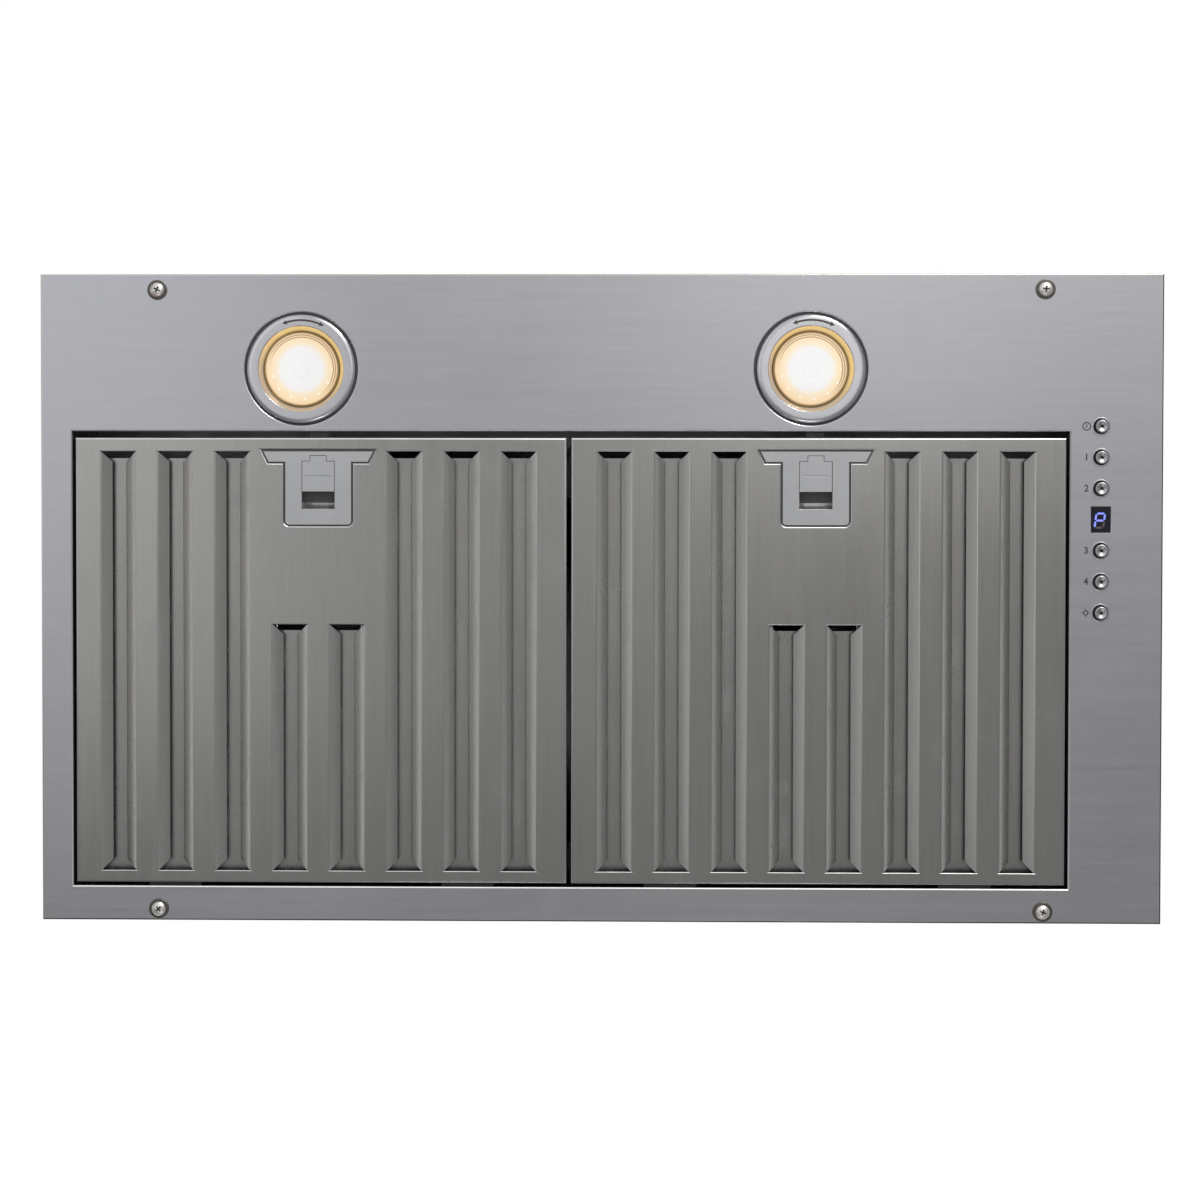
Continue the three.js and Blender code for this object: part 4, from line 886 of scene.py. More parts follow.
def bulbMeshes(x, y):
    v = bulbValues
    low, glass, radius, height, pin = v["face"], v["glass"], v["radius"], v["height"], v["pin"]
    crown = [(glass * s, 0.15 + 0.55 * s ** 2) for s in (0, 0.2, 0.4, 0.6, 0.8, 0.92)]
    lens = spun(shifted(crown + [(glass, 0.8), (glass, 2.2), (0, 2.4)], 0, low), 96, (x, y), 50)
    shell = bmesh.new()
    turn(shell, shifted((
        (glass + 0.1, 2.0), (glass + 0.1, 0.5), (glass + 0.5, 0), (radius - 0.5, 0),
        (radius, 0.5), (radius, 4), (radius - 0.8, 6), (21.8, 14), (17.4, 24),
        (12.6, 32), (11, 35), (10.4, 37), (8.8, 46), (8.5, height), (6.0, height), (6.0, 30), (20, 10),
    ), 0, low), 72, x, y)
    foot = [(0, -1), (pin, -1), (pin, 4.5), (pin + 0.6, 5), (pin + 0.6, 6.6), (pin, 7), (0, 7)]
    for side in (-1, 1):
        turn(shell, shifted(foot, 0, low + height), 16, x + side * v["pinGap"] / 2, y)
    return lens, meshFrom(shell, 40)


for side, spot in zip(("left", "right"), lampValues["centres"]):
    body = "ring_" + side
    fit(f"lamp_ring_{side}_face", ringMesh(*spot), "satinRing", body, ["lamp_ring_" + side])
    fit(f"lamp_cone_{side}", coneMesh(*spot), "goldReflector", body)
    fit(f"twist_mark_{side}", twistMark(*spot), "arrowBrown", body)
    lens, shell = bulbMeshes(*spot)
    fit(f"lamp_lens_{side}", lens, "bulbGlass", "housing", ["lamp_bulb_" + side])
    fit(f"lamp_shell_{side}", shell, "bezelBrown", "housing")
print("lamps made")

# ---- push buttons, display and their marks

buttonValues = {
    "radius": 4.2, "tip": -6.4, "dish": 2.9, "dimple": 0.95, "dimpleDepth": 2.2,
    "flange": 5.85, "flangeLow": -0.9, "flangeTop": 0.3, "stem": 2.0, "stemTop": 3.8,
}


def buttonMesh(*spot):
    v = buttonValues
    r, dish, dimple, deep, low = v["radius"], v["dish"], v["dimple"], v["dimpleDepth"], v["flangeLow"]
    cap = shifted((
        (0, deep), (dimple * 0.8, deep * 0.9), (dimple, 0.8), (dimple + 0.25, 0.66),
        (dish * 0.72, 0.46), (dish, 0.12), (dish + 0.25, 0.01),
        (r - 0.75, 0), (r - 0.35, 0.10), (r - 0.1, 0.35), (r, 0.75),
    ), 0, v["tip"])
    return spun(cap + [
        (r, low), (v["flange"], low), (v["flange"], v["flangeTop"]), (v["stem"], v["flangeTop"]),
        (v["stem"], v["stemTop"]), (0, v["stemTop"]),
    ], 56, spot, 34)


for name, spot in buttonSpots.items():

    # the sides and the dimple are painted black as shade
    def buttonFinish(middle, facing):
        off = hypot(middle.x - spot[0], middle.y - spot[1])
        dark = off > buttonValues["radius"] - 0.06 or off < buttonValues["dimple"] + 0.3
        return 1 if dark and middle.z < 0 else 0

    finish = ("buttonChrome", "blackPlastic")
    key = fit("push_" + name, buttonMesh(*spot), finish, "button_" + name, ["button_" + name])
    faced(key, buttonFinish)

windowValues = {"half": (5.9, 8.0), "corner": 0.9, "thick": 2.0, "chamfer": 0.45, "rim": 1.6}


def windowMesh():
    v = windowValues
    face, x, y = (panelValues[name] for name in ("face", "buttonX", "displayY"))
    (halfX, halfY), corner, slope = v["half"], v["corner"], v["chamfer"]
    a, b, back = halfX - corner, halfY - corner, face + v["thick"]
    outline = []
    for cx, cy, start in ((a, b, 0), (-a, b, 90), (-a, -b, 180), (a, -b, 270)):
        outline += arc(x + cx, y + cy, corner, start, start + 90, 5)
    bm = bmesh.new()
    edging(bm, outline, [(-slope, face + 0.02), (-0.2, face + 0.06), (0, face + 0.3), (0, back), (-slope, back)])
    plate(bm, grown(outline, -slope), [], face + 0.02, back)
    plate(bm, aboutDisplay(halfX + v["rim"], halfY + v["rim"]), [], panelValues["inner"], back)
    return meshFrom(bm, 30)


fit("display_glass", windowMesh(), "windowBlack", "housing", ["display_window"])

# lit and unlit bars of the figure behind the window
digitValues = {
    "move": (-0.7, 0.55), "half": (2.75, 4.55), "slant": 0.13, "bar": 0.62, "gap": 0.28,
    "heights": (-0.01, 0.1), "lit": "abefg", "unlit": "cd",
    # ends of each bar, in halves of the figure's width and height
    "bars": {
        "a": ((-1, -1), (1, -1)), "b": ((1, -1), (1, 0)), "c": ((1, 0), (1, 1)), "d": ((-1, 1), (1, 1)),
        "e": ((-1, 0), (-1, 1)), "f": ((-1, -1), (-1, 0)), "g": ((-1, 0), (1, 0)),
    },
}


def digitBars(names):
    v = digitValues
    (halfX, halfY), bar = v["half"], v["bar"]
    x0, y0 = panelValues["buttonX"] + v["move"][0], panelValues["displayY"] + v["move"][1]
    bm = bmesh.new()
    for name in names:
        a, b = (Vector((x * halfX, y * halfY)) for x, y in v["bars"][name])
        way = (b - a).normalized()
        side = Vector((-way.y, way.x)) * bar
        a, b = a + way * v["gap"], b - way * v["gap"]
        in0, in1 = a + way * bar, b - way * bar
        corners = (a, in0 + side, in1 + side, b, in1 - side, in0 - side)
        outline = [(x0 + p.x - p.y * v["slant"], y0 + p.y) for p in corners]
        slab(bm, outline, [panelValues["face"] + rise for rise in v["heights"]])
    return meshFrom(bm, 60)


fit("digit_lit", digitBars(digitValues["lit"]), "digitBlue", "housing")
fit("digit_unlit", digitBars(digitValues["unlit"]), "digitDark", "housing")

markValues = {
    "x": 312.8, "height": 4.3, "depth": 0.02, "line": 0.74, "bold": 0.14,
    "digits": {"speed_1": "1", "speed_2": "2", "speed_3": "3", "speed_4": "4"},
}


def digitMesh(text, x, y):
    v = markValues
    letters = bpy.data.curves.new("digit", "FONT")
    letters.body = text
    letters.align_x = "CENTER"
    letters.align_y = "CENTER"
    letters.size = v["height"] * 1.42 * mm
    letters.extrude = v["depth"] * mm
    letters.offset = v["bold"] * mm
    letters.resolution_u = 6
    mesh = plainMesh(held(letters))
    z = panelValues["face"] * mm
    mesh.transform(Matrix(((1, 0, 0, x * mm), (0, -1, 0, y * mm), (0, 0, -1, z), (0, 0, 0, 1))))
    return mesh


# flat lines through lists of points, each list closed or open
def strokeMark(strokes, x, y):
    face, depth, half = panelValues["face"], markValues["depth"], markValues["line"] / 2
    bm = bmesh.new()
    for points, closed in strokes:
        loops = []
        count = len(points)
        for i, (px, py) in enumerate(points):
            before = Vector(points[(i - 1) % count] if closed or i else points[0])
            after = Vector(points[(i + 1) % count] if closed or i < count - 1 else points[-1])
            way = (after - before).normalized()
            loops.append([
                (x + px + s * way.y * half, y + py - s * way.x * half, face + rise)
                for s, rise in ((1, -depth), (-1, -depth), (-1, depth), (1, depth))
            ])
        if closed:
            skin(bm, loops)
        else:
            loft(bm, loops)
    return meshFrom(bm, 60)


# a ring with a bar for the power button, a ring with four rays for the lamp button
powerStrokes = [(flatRing(2.45, 32), True), ([(0, -1.25), (0, 0.9)], False)]
lampStrokes = [(flatRing(1.35, 24), True)]
lampStrokes += [([(1.85 * c, 1.85 * s), (2.6 * c, 2.6 * s)], False) for s, c in dial((0, 90, 180, 270))]
for name, (_, y) in buttonSpots.items():
    if name in markValues["digits"]:
        mesh = digitMesh(markValues["digits"][name], markValues["x"], y)
    else:
        mesh = strokeMark(powerStrokes if name == "power" else lampStrokes, markValues["x"], y)
    fit("mark_" + name, mesh, "markGrey", "housing")
print("controls made")

# ---- filters

filterValues = {
    "width": 318.9, "depth": 289, "centres": (-180.45, 140.95), "y": 40.5, "face": -2.0, "sheet": 1.0, "top": 11,
    "fold": 1.6, "pitch": 37.1, "slot": 22.6, "shift": -1.6, "slots": 8, "front": 9, "rear": 8, "shortFront": 121,
    "lipRun": 7.0, "lipRise": 5.5, "bend": 2.2, "slotRoll": 0.5,
    "tabSpread": 190, "tabWidth": 34, "tabEnd": 192.6, "tabHeights": (-0.9, 0.1),
}
latchValues = {
    "barHalf": 35.5, "barDepth": 6.6, "bevel": 3.4, "width": 42.5, "length": 47.3, "corner": 2.5, "gap": 1.0,
    "roll": 1.1, "scoopHalf": 10.3, "scoop": (-63.6, -57.5), "boltCover": 4,
}


def slotPlaces():
    v = filterValues
    places = []
    for i in range(v["slots"]):
        short = i in (v["slots"] // 2 - 1, v["slots"] // 2)
        front = -v["depth"] / 2 + (v["shortFront"] if short else v["front"])
        places.append((v["shift"] + (i - (v["slots"] - 1) / 2) * v["pitch"], front))
    return places


def latchOutline(grow):
    v = latchValues
    x, front = filterValues["shift"], -filterValues["depth"] / 2 + filterValues["front"]
    half, wide, c = v["width"] / 2, v["barHalf"], v["corner"]
    step, rear = front + v["barDepth"], front + v["length"]
    points = [(x - wide, front), (x + wide, front), (x + wide - v["bevel"], step), (x + half, step)]
    points += arc(x + half - c, rear - c, c, 0, 90, 5) + arc(x - half + c, rear - c, c, 90, 180, 5)
    return grown(points + [(x - half, step), (x - wide + v["bevel"], step)], grow)


# one sloping lip with a rounded bend, its thickness, and mitred ends
def slotLip(bm, x, front, rear, side):
    v = filterValues
    slope = atan2(v["lipRise"], v["lipRun"])
    bend, sheet, face = v["bend"], v["sheet"], v["face"]
    start = -bend * tan(slope / 2)
    steps = 8
    outer, inner = (
        [
            (start + r * sin(a), face + bend - r * cos(a))
            for a in (slope * i / steps for i in range(steps + 1))
        ]
        for r in (bend, bend - sheet)
    )
    along = Vector((cos(slope), sin(slope)))
    up = Vector((-along.y, along.x))
    last = Vector((v["lipRun"], face + v["lipRise"]))
    outer += [tuple(last - along * 0.5), tuple(last - along * 0.12 + up * 0.10), tuple(last + up * 0.35)]
    inner.append(tuple(last + up * sheet - along * 0.3))
    section = outer + inner[::-1]
    edge = x + side * v["slot"] / 2
    loft(bm, [
        [(edge - side * u, y + way * max(u, 0.0), z) for u, z in section]
        for y, way in ((front, 1), (rear, -1))
    ])


def filterSheet(x0):
    v = filterValues
    x, y = v["width"] / 2, v["depth"] / 2
    face, sheet, fold, roll, top = v["face"], v["sheet"], v["fold"], v["slotRoll"], v["top"]
    rear, inside = y - v["rear"], face + sheet
    half = v["slot"] / 2 + v["bend"] * tan(atan2(v["lipRise"], v["lipRun"]) / 2)
    curl, gap = latchValues["roll"], latchValues["gap"]
    bm = bmesh.new()
    holes = [rectangle(sx - half, sx + half, front - roll, rear + roll) for sx, front in slotPlaces()]
    holes.append(latchOutline(gap + curl))
    plate(bm, rectangle(-x, x, -y, y, grow=-fold), holes, face, inside)
    rim = arc(-fold, face + fold, fold, -90, 0, 9)
    edging(bm, rectangle(-x, x, -y, y), rim + [(0, top), (-sheet, top), (-sheet, face + fold), (-fold, inside)])
    for sx, front in slotPlaces():
        for side in (-1, 1):
            slotLip(bm, sx, front, rear, side)
        # rolled short edges of the slot
        for edge, way in ((front, -1), (rear, 1)):
            section = arc(roll, face + roll, roll, -90, -180, 4) + [(0, inside), (roll, inside)]
            loft(bm, [[(sx + s * half, edge + way * d, z) for d, z in section] for s in (-1, 1)])
    edging(bm, latchOutline(gap), arc(curl, face + curl, curl, -90, -180, 8) + [(0, inside), (curl, inside)])
    for side in (-1, 1):
        middle, w = side * v["tabSpread"] / 2, v["tabWidth"] / 2
        box(bm, middle - w, middle + w, y - sheet, v["tabEnd"] - v["y"], *v["tabHeights"])
    bmesh.ops.translate(bm, vec=(x0, v["y"], 0), verts=bm.verts)
    return meshFrom(bm, 26)


# the hinge tabs get dark steel as painted shade, the sloping lips a paler steel as painted light, and edges that face
# the front a pale steel as a painted highlight
def filterFinish(middle, facing):
    if middle.y > filterValues["y"] + filterValues["depth"] / 2 + 0.3:
        return 3
    if 0.35 < abs(facing.x) < 0.75 and abs(facing.y) < 0.2:
        return 1
    return 2 if facing.y < -0.25 and -0.95 < facing.z < 0.3 and middle.z < 0.4 else 0


boltLine = filterValues["y"] - filterValues["depth"] / 2 + latchValues["boltCover"]
for side, x0 in zip(("left", "right"), filterValues["centres"]):

    # bright silver at the end of the finger scoop as a painted highlight, and dark grey on the deep floors behind the
    # cover as painted shade
    def coverFinish(middle, facing):
        v = latchValues
        across = abs(middle.x - x0 - filterValues["shift"])
        inScoop = across < v["scoopHalf"] and v["scoop"][0] < middle.y < v["scoop"][1]
        if inScoop and middle.z > -1.0 and facing.y < -0.05:
            return 2
        deep = middle.z > 5 or (middle.z > -1.15 and facing.z < -0.9)
        return 1 if deep and abs(facing.z) > 0.9 else 0

    finish = ("filterSteel", "lipSteel", "edgeSteel", "rimShade")
    front = ["filter_front_" + side]
    sheet = fit("baffle_front_" + side, filterSheet(x0), finish, "filter_" + side, front)
    faced(sheet, filterFinish)
    dressed("filter_back_" + side, "floorSteel", 0.35)
    cover = dressed("latch_body_" + side, ("latchGrey", "shadowGrey", "scoopSilver"), 0.35, 3)
    faced(cover, coverFinish)
    # the bolt's end in the front gap is painted dark grey as shade
    slider = dressed("latch_slider_" + side, ("latchGrey", "shadowGrey"), 0.25, 2, boltLine * mm)
    faced(slider, lambda middle, facing: 1 if middle.y < boltLine else 0)
print("filters made")

# ---- sheet metal above the panel

sheetValues = {
    "x": 348, "front": -190, "rear": 195, "top": 121.2,
    "box": (-150, 150, -100, 175), "boxTop": 249.2, "lid": (-151.5, 151.5, -101.5, 176.5), "lidTop": 250.4,
    "foot": 122.4, "screw": (4.7, 3.3, 0.8, 2.4), "rivet": (2.9, 1.1), "bead": (4.4, 1.5),
    "cover": (-324, -246, -54, 24), "coverTop": 162.4, "inset": 6, "rivetInset": 7, "rivetCircle": 80,
}
up, leftward, rightward, forward, backward = (0, 0, 1), (-1, 0, 0), (1, 0, 0), (0, -1, 0), (0, 1, 0)


def hexScrew():
    washer, across, low, high = sheetValues["screw"]
    bm = bmesh.new()
    turn(bm, [
        (0, low * 0.9), (across, low * 0.9), (washer - 0.5, low * 0.8), (washer, low * 0.35), (washer, -0.3), (0, -0.3),
    ], 28)
    sides = [(0.96, low * 0.6), (1.0, low + 0.15), (1.0, high - 0.35), (0.86, high), (0.55, high), (0.45, high - 0.3)]
    loft(bm, [ring(across * k, 6, z=z) for k, z in sides])
    return meshFrom(bm, 30)


def domeRivet():
    radius, high = sheetValues["rivet"]
    dome = [(radius * s, high * c) for s, c in dial((20, 40, 60, 78))]
    return spun([(0, high)] + dome + [(radius, -0.2), (0, -0.2)], 20, sharp=40)


# long pressed stiffening bead, flat underneath and fading out at its ends
def pressedBead(length):
    half, high = sheetValues["bead"]
    bm = bmesh.new()
    loops = []
    fade = ((0.88, 1), (0.93, 0.93), (0.965, 0.72), (0.99, 0.4), (1, 0.05))
    for t, k in [(-t, k) for t, k in fade[::-1]] + list(fade):
        arch = [(half * k * c, high * k * s ** 1.4) for s, c in dial(sweep(0, 180, 10))]
        loops.append([(t * length / 2, y, z) for y, z in arch + [(-half * k, -0.4), (half * k, -0.4)]])
    loft(bm, loops)
    return meshFrom(bm, 50)


def sheetScrewPlaces():
    v = sheetValues
    left, right, front, rear = v["box"]
    lidLeft, lidRight, lidFront, lidRear = v["lid"]
    top, foot, d = v["top"], v["foot"], v["inset"]
    rim = v["boxTop"] - d
    places = []
    for x in (-300, -180, -60, 60, 180, 300):
        places += [((x, v["front"] + d, top), up, rightward), ((x, v["rear"] - d, top), up, backward)]
    for y in (-120, 0, 120):
        places += [((s * (v["x"] - d), y, top), up, (1, s * 0.6, 0)) for s in (-1, 1)]
    for x in (-110, -35, 35, 110):
        places += [((x, front - d, foot), up, (1, 0.3, 0)), ((x, rear + d, foot), up, (1, -0.8, 0))]
    for y in (-62, 18, 98):
        places += [((x, y, foot), up, (1, 0.5, 0)) for x in (left - d, right + d)]
    for y in (-70, 37, 145):
        places += [((lidLeft, y, rim), leftward, (0, 1, 0.4)), ((lidRight, y, rim), rightward, (0, 1, 0.1))]
    for x in (-105, 0, 105):
        places += [((x, lidFront, rim), forward, (1, 0, 0.3)), ((x, lidRear, rim), backward, (1, 0, 0.7))]
    x0, x1, y0, y1 = v["cover"]
    return places + [((x, y, v["coverTop"]), up, (1, 0.2, 0)) for x in (x0, x1) for y in (y0, y1)]


def rivetPlaces():
    v = sheetValues
    d = v["rivetInset"]
    walls = ((v["front"], forward), (v["rear"], backward))
    places = []
    for s in (-1, 1):
        places += [((s * (v["x"] - d), y, z), way, rightward) for z in (18, 52, 86, 108) for y, way in walls]
        places += [((s * (v["box"][1] - d), v["box"][3], z), backward, rightward) for z in (135, 165, 195, 225)]
    cx, cy = collarValues["centre"]
    r, z = v["rivetCircle"], v["lidTop"] + 1.2
    return places + [((cx + r * c, cy + r * s, z), up, rightward) for s, c in dial(sweep(22.5, 337.5, 7))]


def beadPlaces():
    v = sheetValues
    left, right, front, rear = v["box"]
    low, high = 38, 84
    long = [((s * 165, v["front"], z), forward, rightward) for s in (-1, 1) for z in (low, high)]
    long += [((s * 165, v["rear"], z), backward, rightward) for s in (-1, 1) for z in (low, high)]
    long += [((s * v["x"], 2.5, z), (s, 0, 0), backward) for s in (-1, 1) for z in (low, high)]
    long += [((x, 0, v["top"]), up, backward) for x in (205, 255, 305)]
    short = [((x, front, 180), forward, up) for x in (-110, -55, 0, 55, 110)]
    short += [((s * right, y, 180), (s, 0, 0), up) for s in (-1, 1) for y in (-55, 0, 55, 110)]
    short += [((x, rear, 180), backward, up) for x in (-100, -50, 0, 50, 100)]
    short += [((-275, y, v["top"]), up, rightward) for y in (-150, -110, 90, 150)]
    return {"long": (290, long), "short": (84, short)}


collarValues = {
    "centre": (0, -13.55), "inner": 75, "flange": 84, "height": 50, "bead": 25, "beadSize": (2.0, 3.2),
    "stop": 258.5, "seat": (71.2, 253.6, 255.5),
    # the rolled edge at the top, from the inner wall and the top, and the foot, from the inner wall
    "hem": (
        (0.25, -0.45), (0.8, -0.1), (1.5, 0), (2.1, -0.35), (2.3, -0.9), (2.3, -3.4), (1.8, -4.0), (1.05, -4.1),
    ),
    "foot": ((1, 4.0), (1.2, 2.6), (1.8, 1.7), (2.8, 1.25), (4, 1.2)),
    "seam": ((-4.2, 0.5), (-3.9, 1.45), (-3.2, 1.75), (3.2, 1.75), (3.9, 1.45), (4.2, 0.5)),
}


def ductCollar():
    v = collarValues
    x, y = v["centre"]
    z0, r, edge, bead, high = sheetValues["lidTop"], v["inner"], v["flange"], v["bead"], v["height"]
    out, rise = v["beadSize"]
    swell = [(out * c, rise * s) for s, c in dial(range(-75, 90, 15))]
    profile = [(r, 0), (r, bead - 3.4)] + [(r + max(0, a - 0.05), bead + b) for a, b in swell]
    profile += [(r, bead + 3.4), (r, high - 1.1)] + shifted(v["hem"], r, high)
    profile += [(r + 1, bead + 3.6)] + [(r + 1 + a, bead + b * 1.1) for a, b in swell[::-1]]
    profile += [(r + 1, bead - 3.6)] + shifted(v["foot"], r, 0)
    profile += shifted(((-0.5, 1.2), (0, 0.8), (0, 0.3), (-0.4, 0)), edge, 0)
    bm = bmesh.new()
    turn(bm, shifted(profile, 0, z0), 112, x, y)
    # stops for the two damper flaps, and the seat under their rims
    for s in (-1, 1):
        box(bm, x - 5, x + 5, *sorted((y + s * (r - 6.5), y + s * (r + 0.5))), v["stop"] - 1.2, v["stop"])
    inner, low, top = v["seat"]
    turn(bm, [
        (r + 0.3, low), (inner + 0.6, low), (inner, low + 0.6), (inner, top - 0.3), (inner + 0.3, top), (r + 0.3, top),
    ], 112, x, y)
    # folded seam up the rear of the pipe
    for ends in ((3.2, bead - 4.5), (bead + 4.5, high - 4.5)):
        slab(bm, shifted(v["seam"], x, y + r), [z0 + z for z in ends])
    return meshFrom(bm, 30)


fit("duct_collar_pipe", ductCollar(), "galvanised", "housing", ["duct_collar"])
fit("sheet_screws", scattered(hexScrew(), sheetScrewPlaces(), "nickel"), "nickel", "housing")
fit("sheet_rivets", scattered(domeRivet(), rivetPlaces(), "nickel"), "nickel", "housing")
for name, (length, places) in beadPlaces().items():
    beads = scattered(pressedBead(length), places, "galvanised", 50)
    fit("beads_" + name, beads, "galvanised", "housing")
sheetNodes = (
    "front_wall", "rear_wall", "left_wall", "right_wall", "top_plate",
    "blower_box_front", "blower_box_rear", "blower_box_lid", "junction_box", "junction_cover",
)
for nodes, finish, slot, width in (
    (sheetNodes, "galvanised", "galvanised", 0.3),
    (("damper_flap_front", "damper_flap_rear"), "wheelSteel", "wheel_steel", 0.2),
    (("scroll_wrap", "scroll_side_left", "scroll_side_right"), "innerSteel", "galvanised", 0.2),
):
    for node in nodes:
        dressed(node, finish, width)
print("sheet metal made")

# ---- capacitor with its clamp and leads, and the cable gland

canValues = {
    "x": -200, "y": 110, "low": 121.2, "radius": 18, "top": 180.2, "tab": 187.2, "tabs": (-7, -2.6, 2.6, 7),
    "lead": 1.5,
    # crimp sleeve over a tab: radius and height
    "sleeve": ((1.9, 181.6), (2.3, 182.2), (2.3, 186.6), (1.9, 188.2), (1.5, 188.4), (1.5, 181.6)),
}


def canMeshes():
    v = canValues
    x, y, r, low, top, tab = v["x"], v["y"], v["radius"], v["low"], v["top"], v["tab"]
    strap, tabs = bmesh.new(), bmesh.new()
    can = [(0, low + 0.4)] + shifted(((-2.2, 0.4), (-1.6, 0), (-0.6, 0.2), (0, 1.2)), r, low) + shifted((
        (0, -5), (-0.7, -4.2), (-0.8, -3.4), (0, -2.4), (0, -0.6), (-0.5, 0), (-1.6, 0), (-2.1, -1.2),
    ), r, top) + [(0, top - 1.2)]
    cap = shifted(((0, -1.5), (r - 2.15, -1.5), (r - 2.15, 0.6), (r - 2.9, 1.3), (0, 1.5)), 0, top)
    turn(strap, shifted((
        (0.05, 20), (0.6, 19.6), (0.9, 20.2), (0.9, 29.8), (0.6, 30.4), (0.05, 30),
    ), r, low), 64, x, y)
    foot = [(0, 0), (9.5, 0), (9.5, 1.2), (1.2, 1.2), (1.2, 30), (0, 30)]
    loft(strap, [[(x + side * 6, y - r - 1.0 - a, low + b) for a, b in foot] for side in (-1, 1)])
    for shift in v["tabs"]:
        for half, z0, z1 in ((3.1, top + 1.2, tab - 1.2), (2.2, tab - 1.2, tab)):
            box(tabs, x + shift - 0.4, x + shift + 0.4, y - half, y + half, z0, z1)
    return {
        "can": (spun(can, 64, (x, y), 35), "canMetal"), "cap": (spun(cap, 64, (x, y), 35), "blackPlastic"),
        "strap": (meshFrom(strap, 35), "nickel"), "tabs": (meshFrom(tabs, 30), "nickel"),
    }


for name, (mesh, finish) in canMeshes().items():
    stands = ["motor_capacitor"] if name == "can" else ()
    fit("capacitor_" + name, mesh, finish, "housing", stands)

leadRuns = {
    "brown": [(-207, 110, 184), (-207, 108, 196), (-214, 84, 190), (-232, 62, 150), (-262, 44, 137), (-270, 29.5, 137)],
    "blue": [(-193, 110, 184), (-193, 107, 195), (-203, 82, 182), (-228, 58, 142), (-254, 40, 133), (-262, 29.5, 133)],
    "black": [(-202.6, 110, 184), (-202.6, 114, 197), (-196, 127, 188), (-178, 133, 170), (-151, 134, 168)],
}
# bushes where the leads go through the sheets: place and profile of each, under the way its foot faces
bushValues = {
    "rear": ((-266, 31.6, 135), ((3.0, -1.6), (6.5, -1.6), (7.5, -0.8), (7.5, 0), (3.0, 0))),
    "right": ((-150, 134, 168), ((2.0, -2.4), (4.4, -2.4), (5.2, -1.4), (5.2, 0), (2.0, 0))),
}
for color, run in leadRuns.items():
    bm = bmesh.new()
    wire(bm, run, canValues["lead"])
    turn(bm, canValues["sleeve"], 16, *run[0][:2])
    fit("lead_" + color, meshFrom(bm, 50), "lead" + color.title(), "housing")
bushes = bmesh.new()
for towards, (spot, profile) in bushValues.items():
    bush = bmesh.new()
    turn(bush, profile, 32)
    laid(bush, spot, towards)
    addTo(bushes, bush)
fit("lead_bushes", meshFrom(bushes, 35), "blackPlastic", "housing")

glandValues = {"x": -285, "z": 141.2, "front": -79.4, "rear": -55.4, "radius": 11, "nuts": ((12.6, 18.3), (20.7, 23.4))}


def glandMesh():
    v = glandValues
    length = v["rear"] - v["front"]
    bm = bmesh.new()
    turn(bm, [
        (4.6, 0.8), (5.4, 0), (7.0, 0.1), (8.4, 0.9), (9.4, 2.6), (9.8, 5), (9.8, 11.5), (8.6, 12.2), (8.0, 12.6),
        (8.0, length), (4.6, length),
    ], 48)
    rib = ((9.4, -0.9), (10.4, -0.5), (10.4, 0.5), (9.4, 0.9))
    for s, c in dial(range(0, 360, 30)):
        slab(bm, [(c * a - s * b, s * a + c * b) for a, b in rib], (3.4, 11.2))
    for z0, z1 in v["nuts"]:
        steps = ((0.92, z0), (1.0, z0 + 0.5), (1.0, z1 - 0.5), (0.92, z1))
        loft(bm, [ring(v["radius"] * k, 6, z=z) for k, z in steps])
    laid(bm, (v["x"], v["front"], v["z"]))
    return meshFrom(bm, 32)


fit("gland_body", glandMesh(), "glandGrey", "housing", ["cable_gland"])
print("electrical parts made")

# ---- what stays as the solids are, with its finish

plainNodes = {
    "galvanised": ("motor_bracket",),
    "wheelSteel": ("blower_wheel",),
    "shaftSteel": ("damper_pin", "motor_shaft"),
    "springSteel": ("latch_spring_left", "latch_spring_right"),
    "cupBlack": ("lamp_cup_left", "lamp_cup_right"),
    "ceramic": ("lamp_socket_left", "lamp_socket_right"),
    "motorGrey": ("motor_body",),
    "blackPlastic": ("display_module", "control_box"),
    "boardGreen": ("control_board",),
}
for finish, nodes in plainNodes.items():
    for node in nodes:
        thing = frame["nodes"][node]
        if not thing.material_slots:
            thing.data.materials.append(None)
        for seat in thing.material_slots:
            seat.material = finishes[finish]
print("solids dressed")

# ---- floor, light and camera

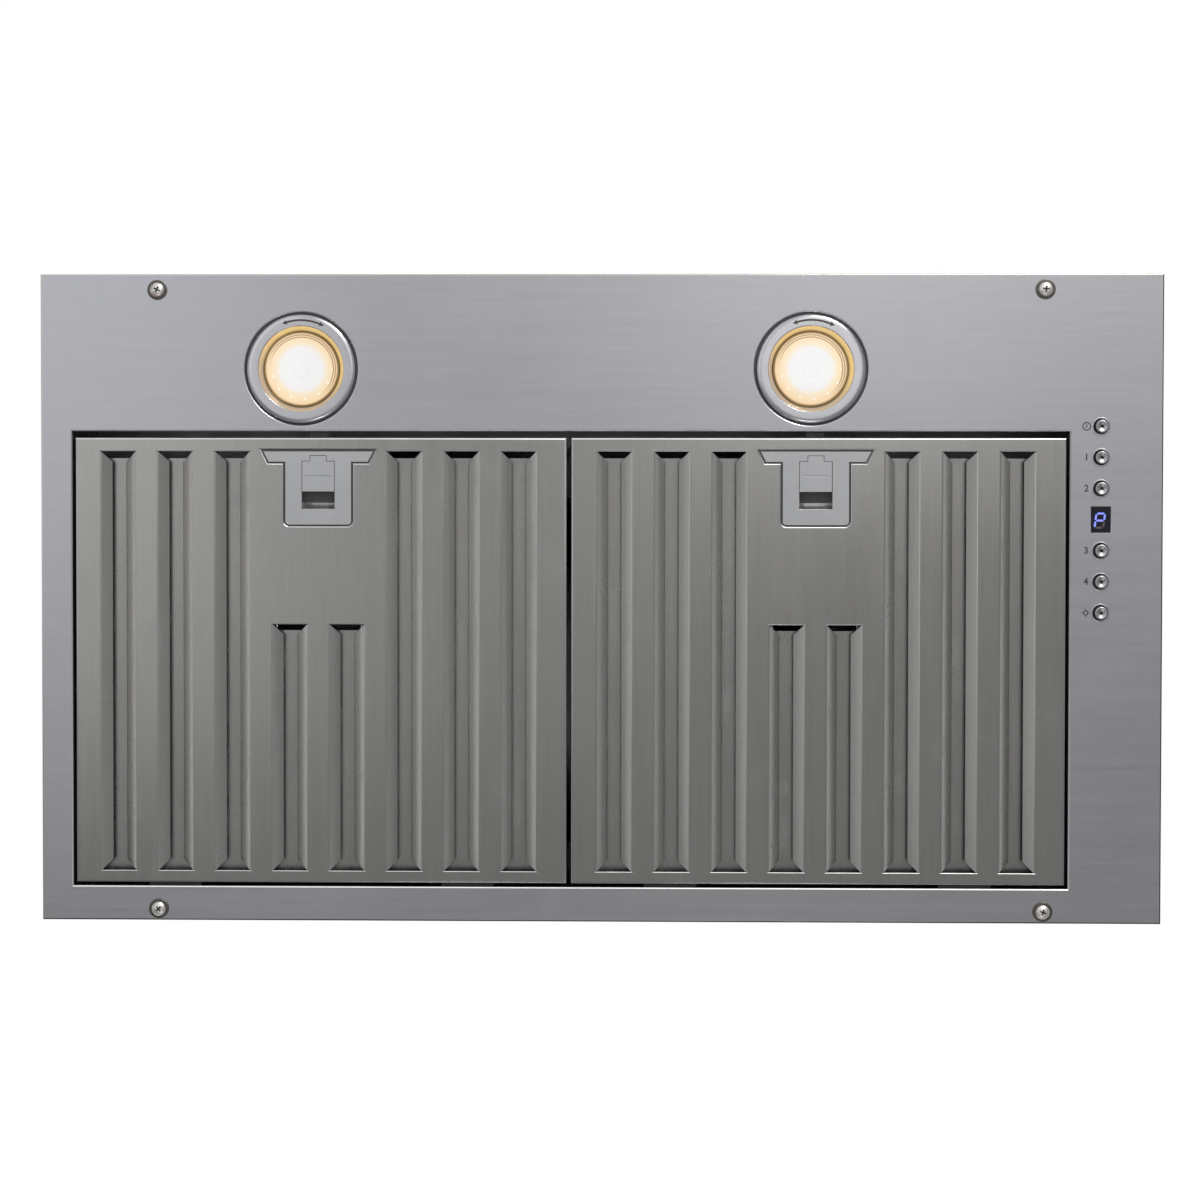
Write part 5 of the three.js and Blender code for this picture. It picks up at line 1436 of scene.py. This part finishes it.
stageValues = {
    "floor": -2.35, "floorSize": 30, "floorColor": (0.78, 0.78, 0.78, 1),
    "world": 0.29, "white": (1, 1, 1, 1),
    "lights": (
        # name, place, target, size in metres, strength, colour where it isn't white
        ("keyRight", (1.08, -2.0, -1.75), (0.32, 0, 0), (0.45, 0.35), 60, (1.0, 0.99, 0.975)),
        ("keyRear", (0.2, 1.5, -1.75), (0.07, 0, 0), (0.5, 0.4), 4.7),
        ("boxLeft", (-1.31, -1.15, -1.9), (-1.31, -1.15, 0), (1.78, 2.1), 11.1, (0.97, 0.98, 1.0)),
        ("boxLeftRear", (-1.31, 0.1, -1.9), (-1.31, 0.1, 0), (1.78, 0.4), 1.4),
        ("boxMiddle", (-0.17, -0.95, -1.9), (-0.17, -0.95, 0), (0.5, 2.5), 0.8),
        ("boxInner", (0.29, -1.15, -1.9), (0.29, -1.15, 0), (0.42, 2.1), 3.1),
        ("boxOuter", (0.85, -1.15, -1.9), (0.85, -1.15, 0), (0.7, 2.1), 2.2),
        ("cardFront", (0, -2.7, -1.1), (0, 0, 0.6), (4.0, 1.5), 13),
        ("cardLeft", (-2.6, 0, -0.75), (0, 0, 0.8), (1.4, 2.4), 3.0),
        ("cardRight", (2.6, 0, -0.75), (0, 0, 0.8), (1.4, 2.4), 1.0),
        ("top", (0.4, -1.2, 2.4), (0, 0, 0.1), (2.0, 2.0), 24),
        ("back", (-1.2, 2.6, 1.6), (0, 0, 0.1), (2.0, 2.0), 16),
    ),
}


def stage():
    v = stageValues
    size = v["floorSize"] / 2
    mesh = bpy.data.meshes.new("floor")
    mesh.from_pydata([(x, y, v["floor"]) for x, y in rectangle(-size, size, -size, size)], [], [(0, 1, 2, 3)])
    floor = held(mesh, "floor")
    paint = Paint("floorPaint")
    cloud = paint.noise(0.8, 2.0, 0.5)
    paint.surface({"Base Color": v["floorColor"], "Roughness": 0.85 + cloud * 0.1})
    mesh.materials.append(paint.material)
    world = bpy.data.worlds.new("studio")
    bpy.context.scene.world = world
    world.use_nodes = True
    # white where it is seen or mirrored, and dimmer where it only lights the object
    sky = Tree(world.node_tree)
    path = sky.add("ShaderNodeLightPath", output="Is Camera Ray")
    seen = path
    for way in ("Is Glossy Ray", "Is Transmission Ray"):
        seen = seen.calc("MAXIMUM", path.out(way))
    dim = sky.add("ShaderNodeBackground", {}, {"Color": v["white"], "Strength": v["world"]})
    plain = sky.add("ShaderNodeBackground", {}, {"Color": v["white"]})
    mixed = sky.add("ShaderNodeMixShader", {}, {0: seen, 1: dim, 2: plain})
    sky.add("ShaderNodeOutputWorld", {}, {"Surface": mixed})
    for name, place, target, size, watts, *color in v["lights"]:
        light = bpy.data.lights.new(name, "AREA")
        light.shape = "RECTANGLE"
        light.size, light.size_y = size
        light.energy = watts
        light.color = color[0] if color else v["white"][:3]
        lamp = held(light, name)
        lamp.location = place
        lamp.rotation_euler = (Vector(target) - Vector(place)).to_track_quat("-Z", "Y").to_euler()
        lamp.visible_camera = False


cameraValues = {
    "place": (0.0003, -0.0804, -1.7454), "turn": (178.605, -1.274, -0.041),
    "view": 25.0576, "shift": (0.05, -0.05),
}


def camera():
    v = cameraValues
    lens = bpy.data.cameras.new("camera")
    lens.sensor_fit = "HORIZONTAL"
    lens.angle = radians(v["view"])
    lens.shift_x, lens.shift_y = v["shift"]
    eye = held(lens, "camera")
    eye.location = v["place"]
    eye.rotation_euler = [radians(a) for a in v["turn"]]
    bpy.context.scene.camera = eye


stage()
camera()
bpy.context.scene.view_settings.view_transform = "Standard"
print("stage set")
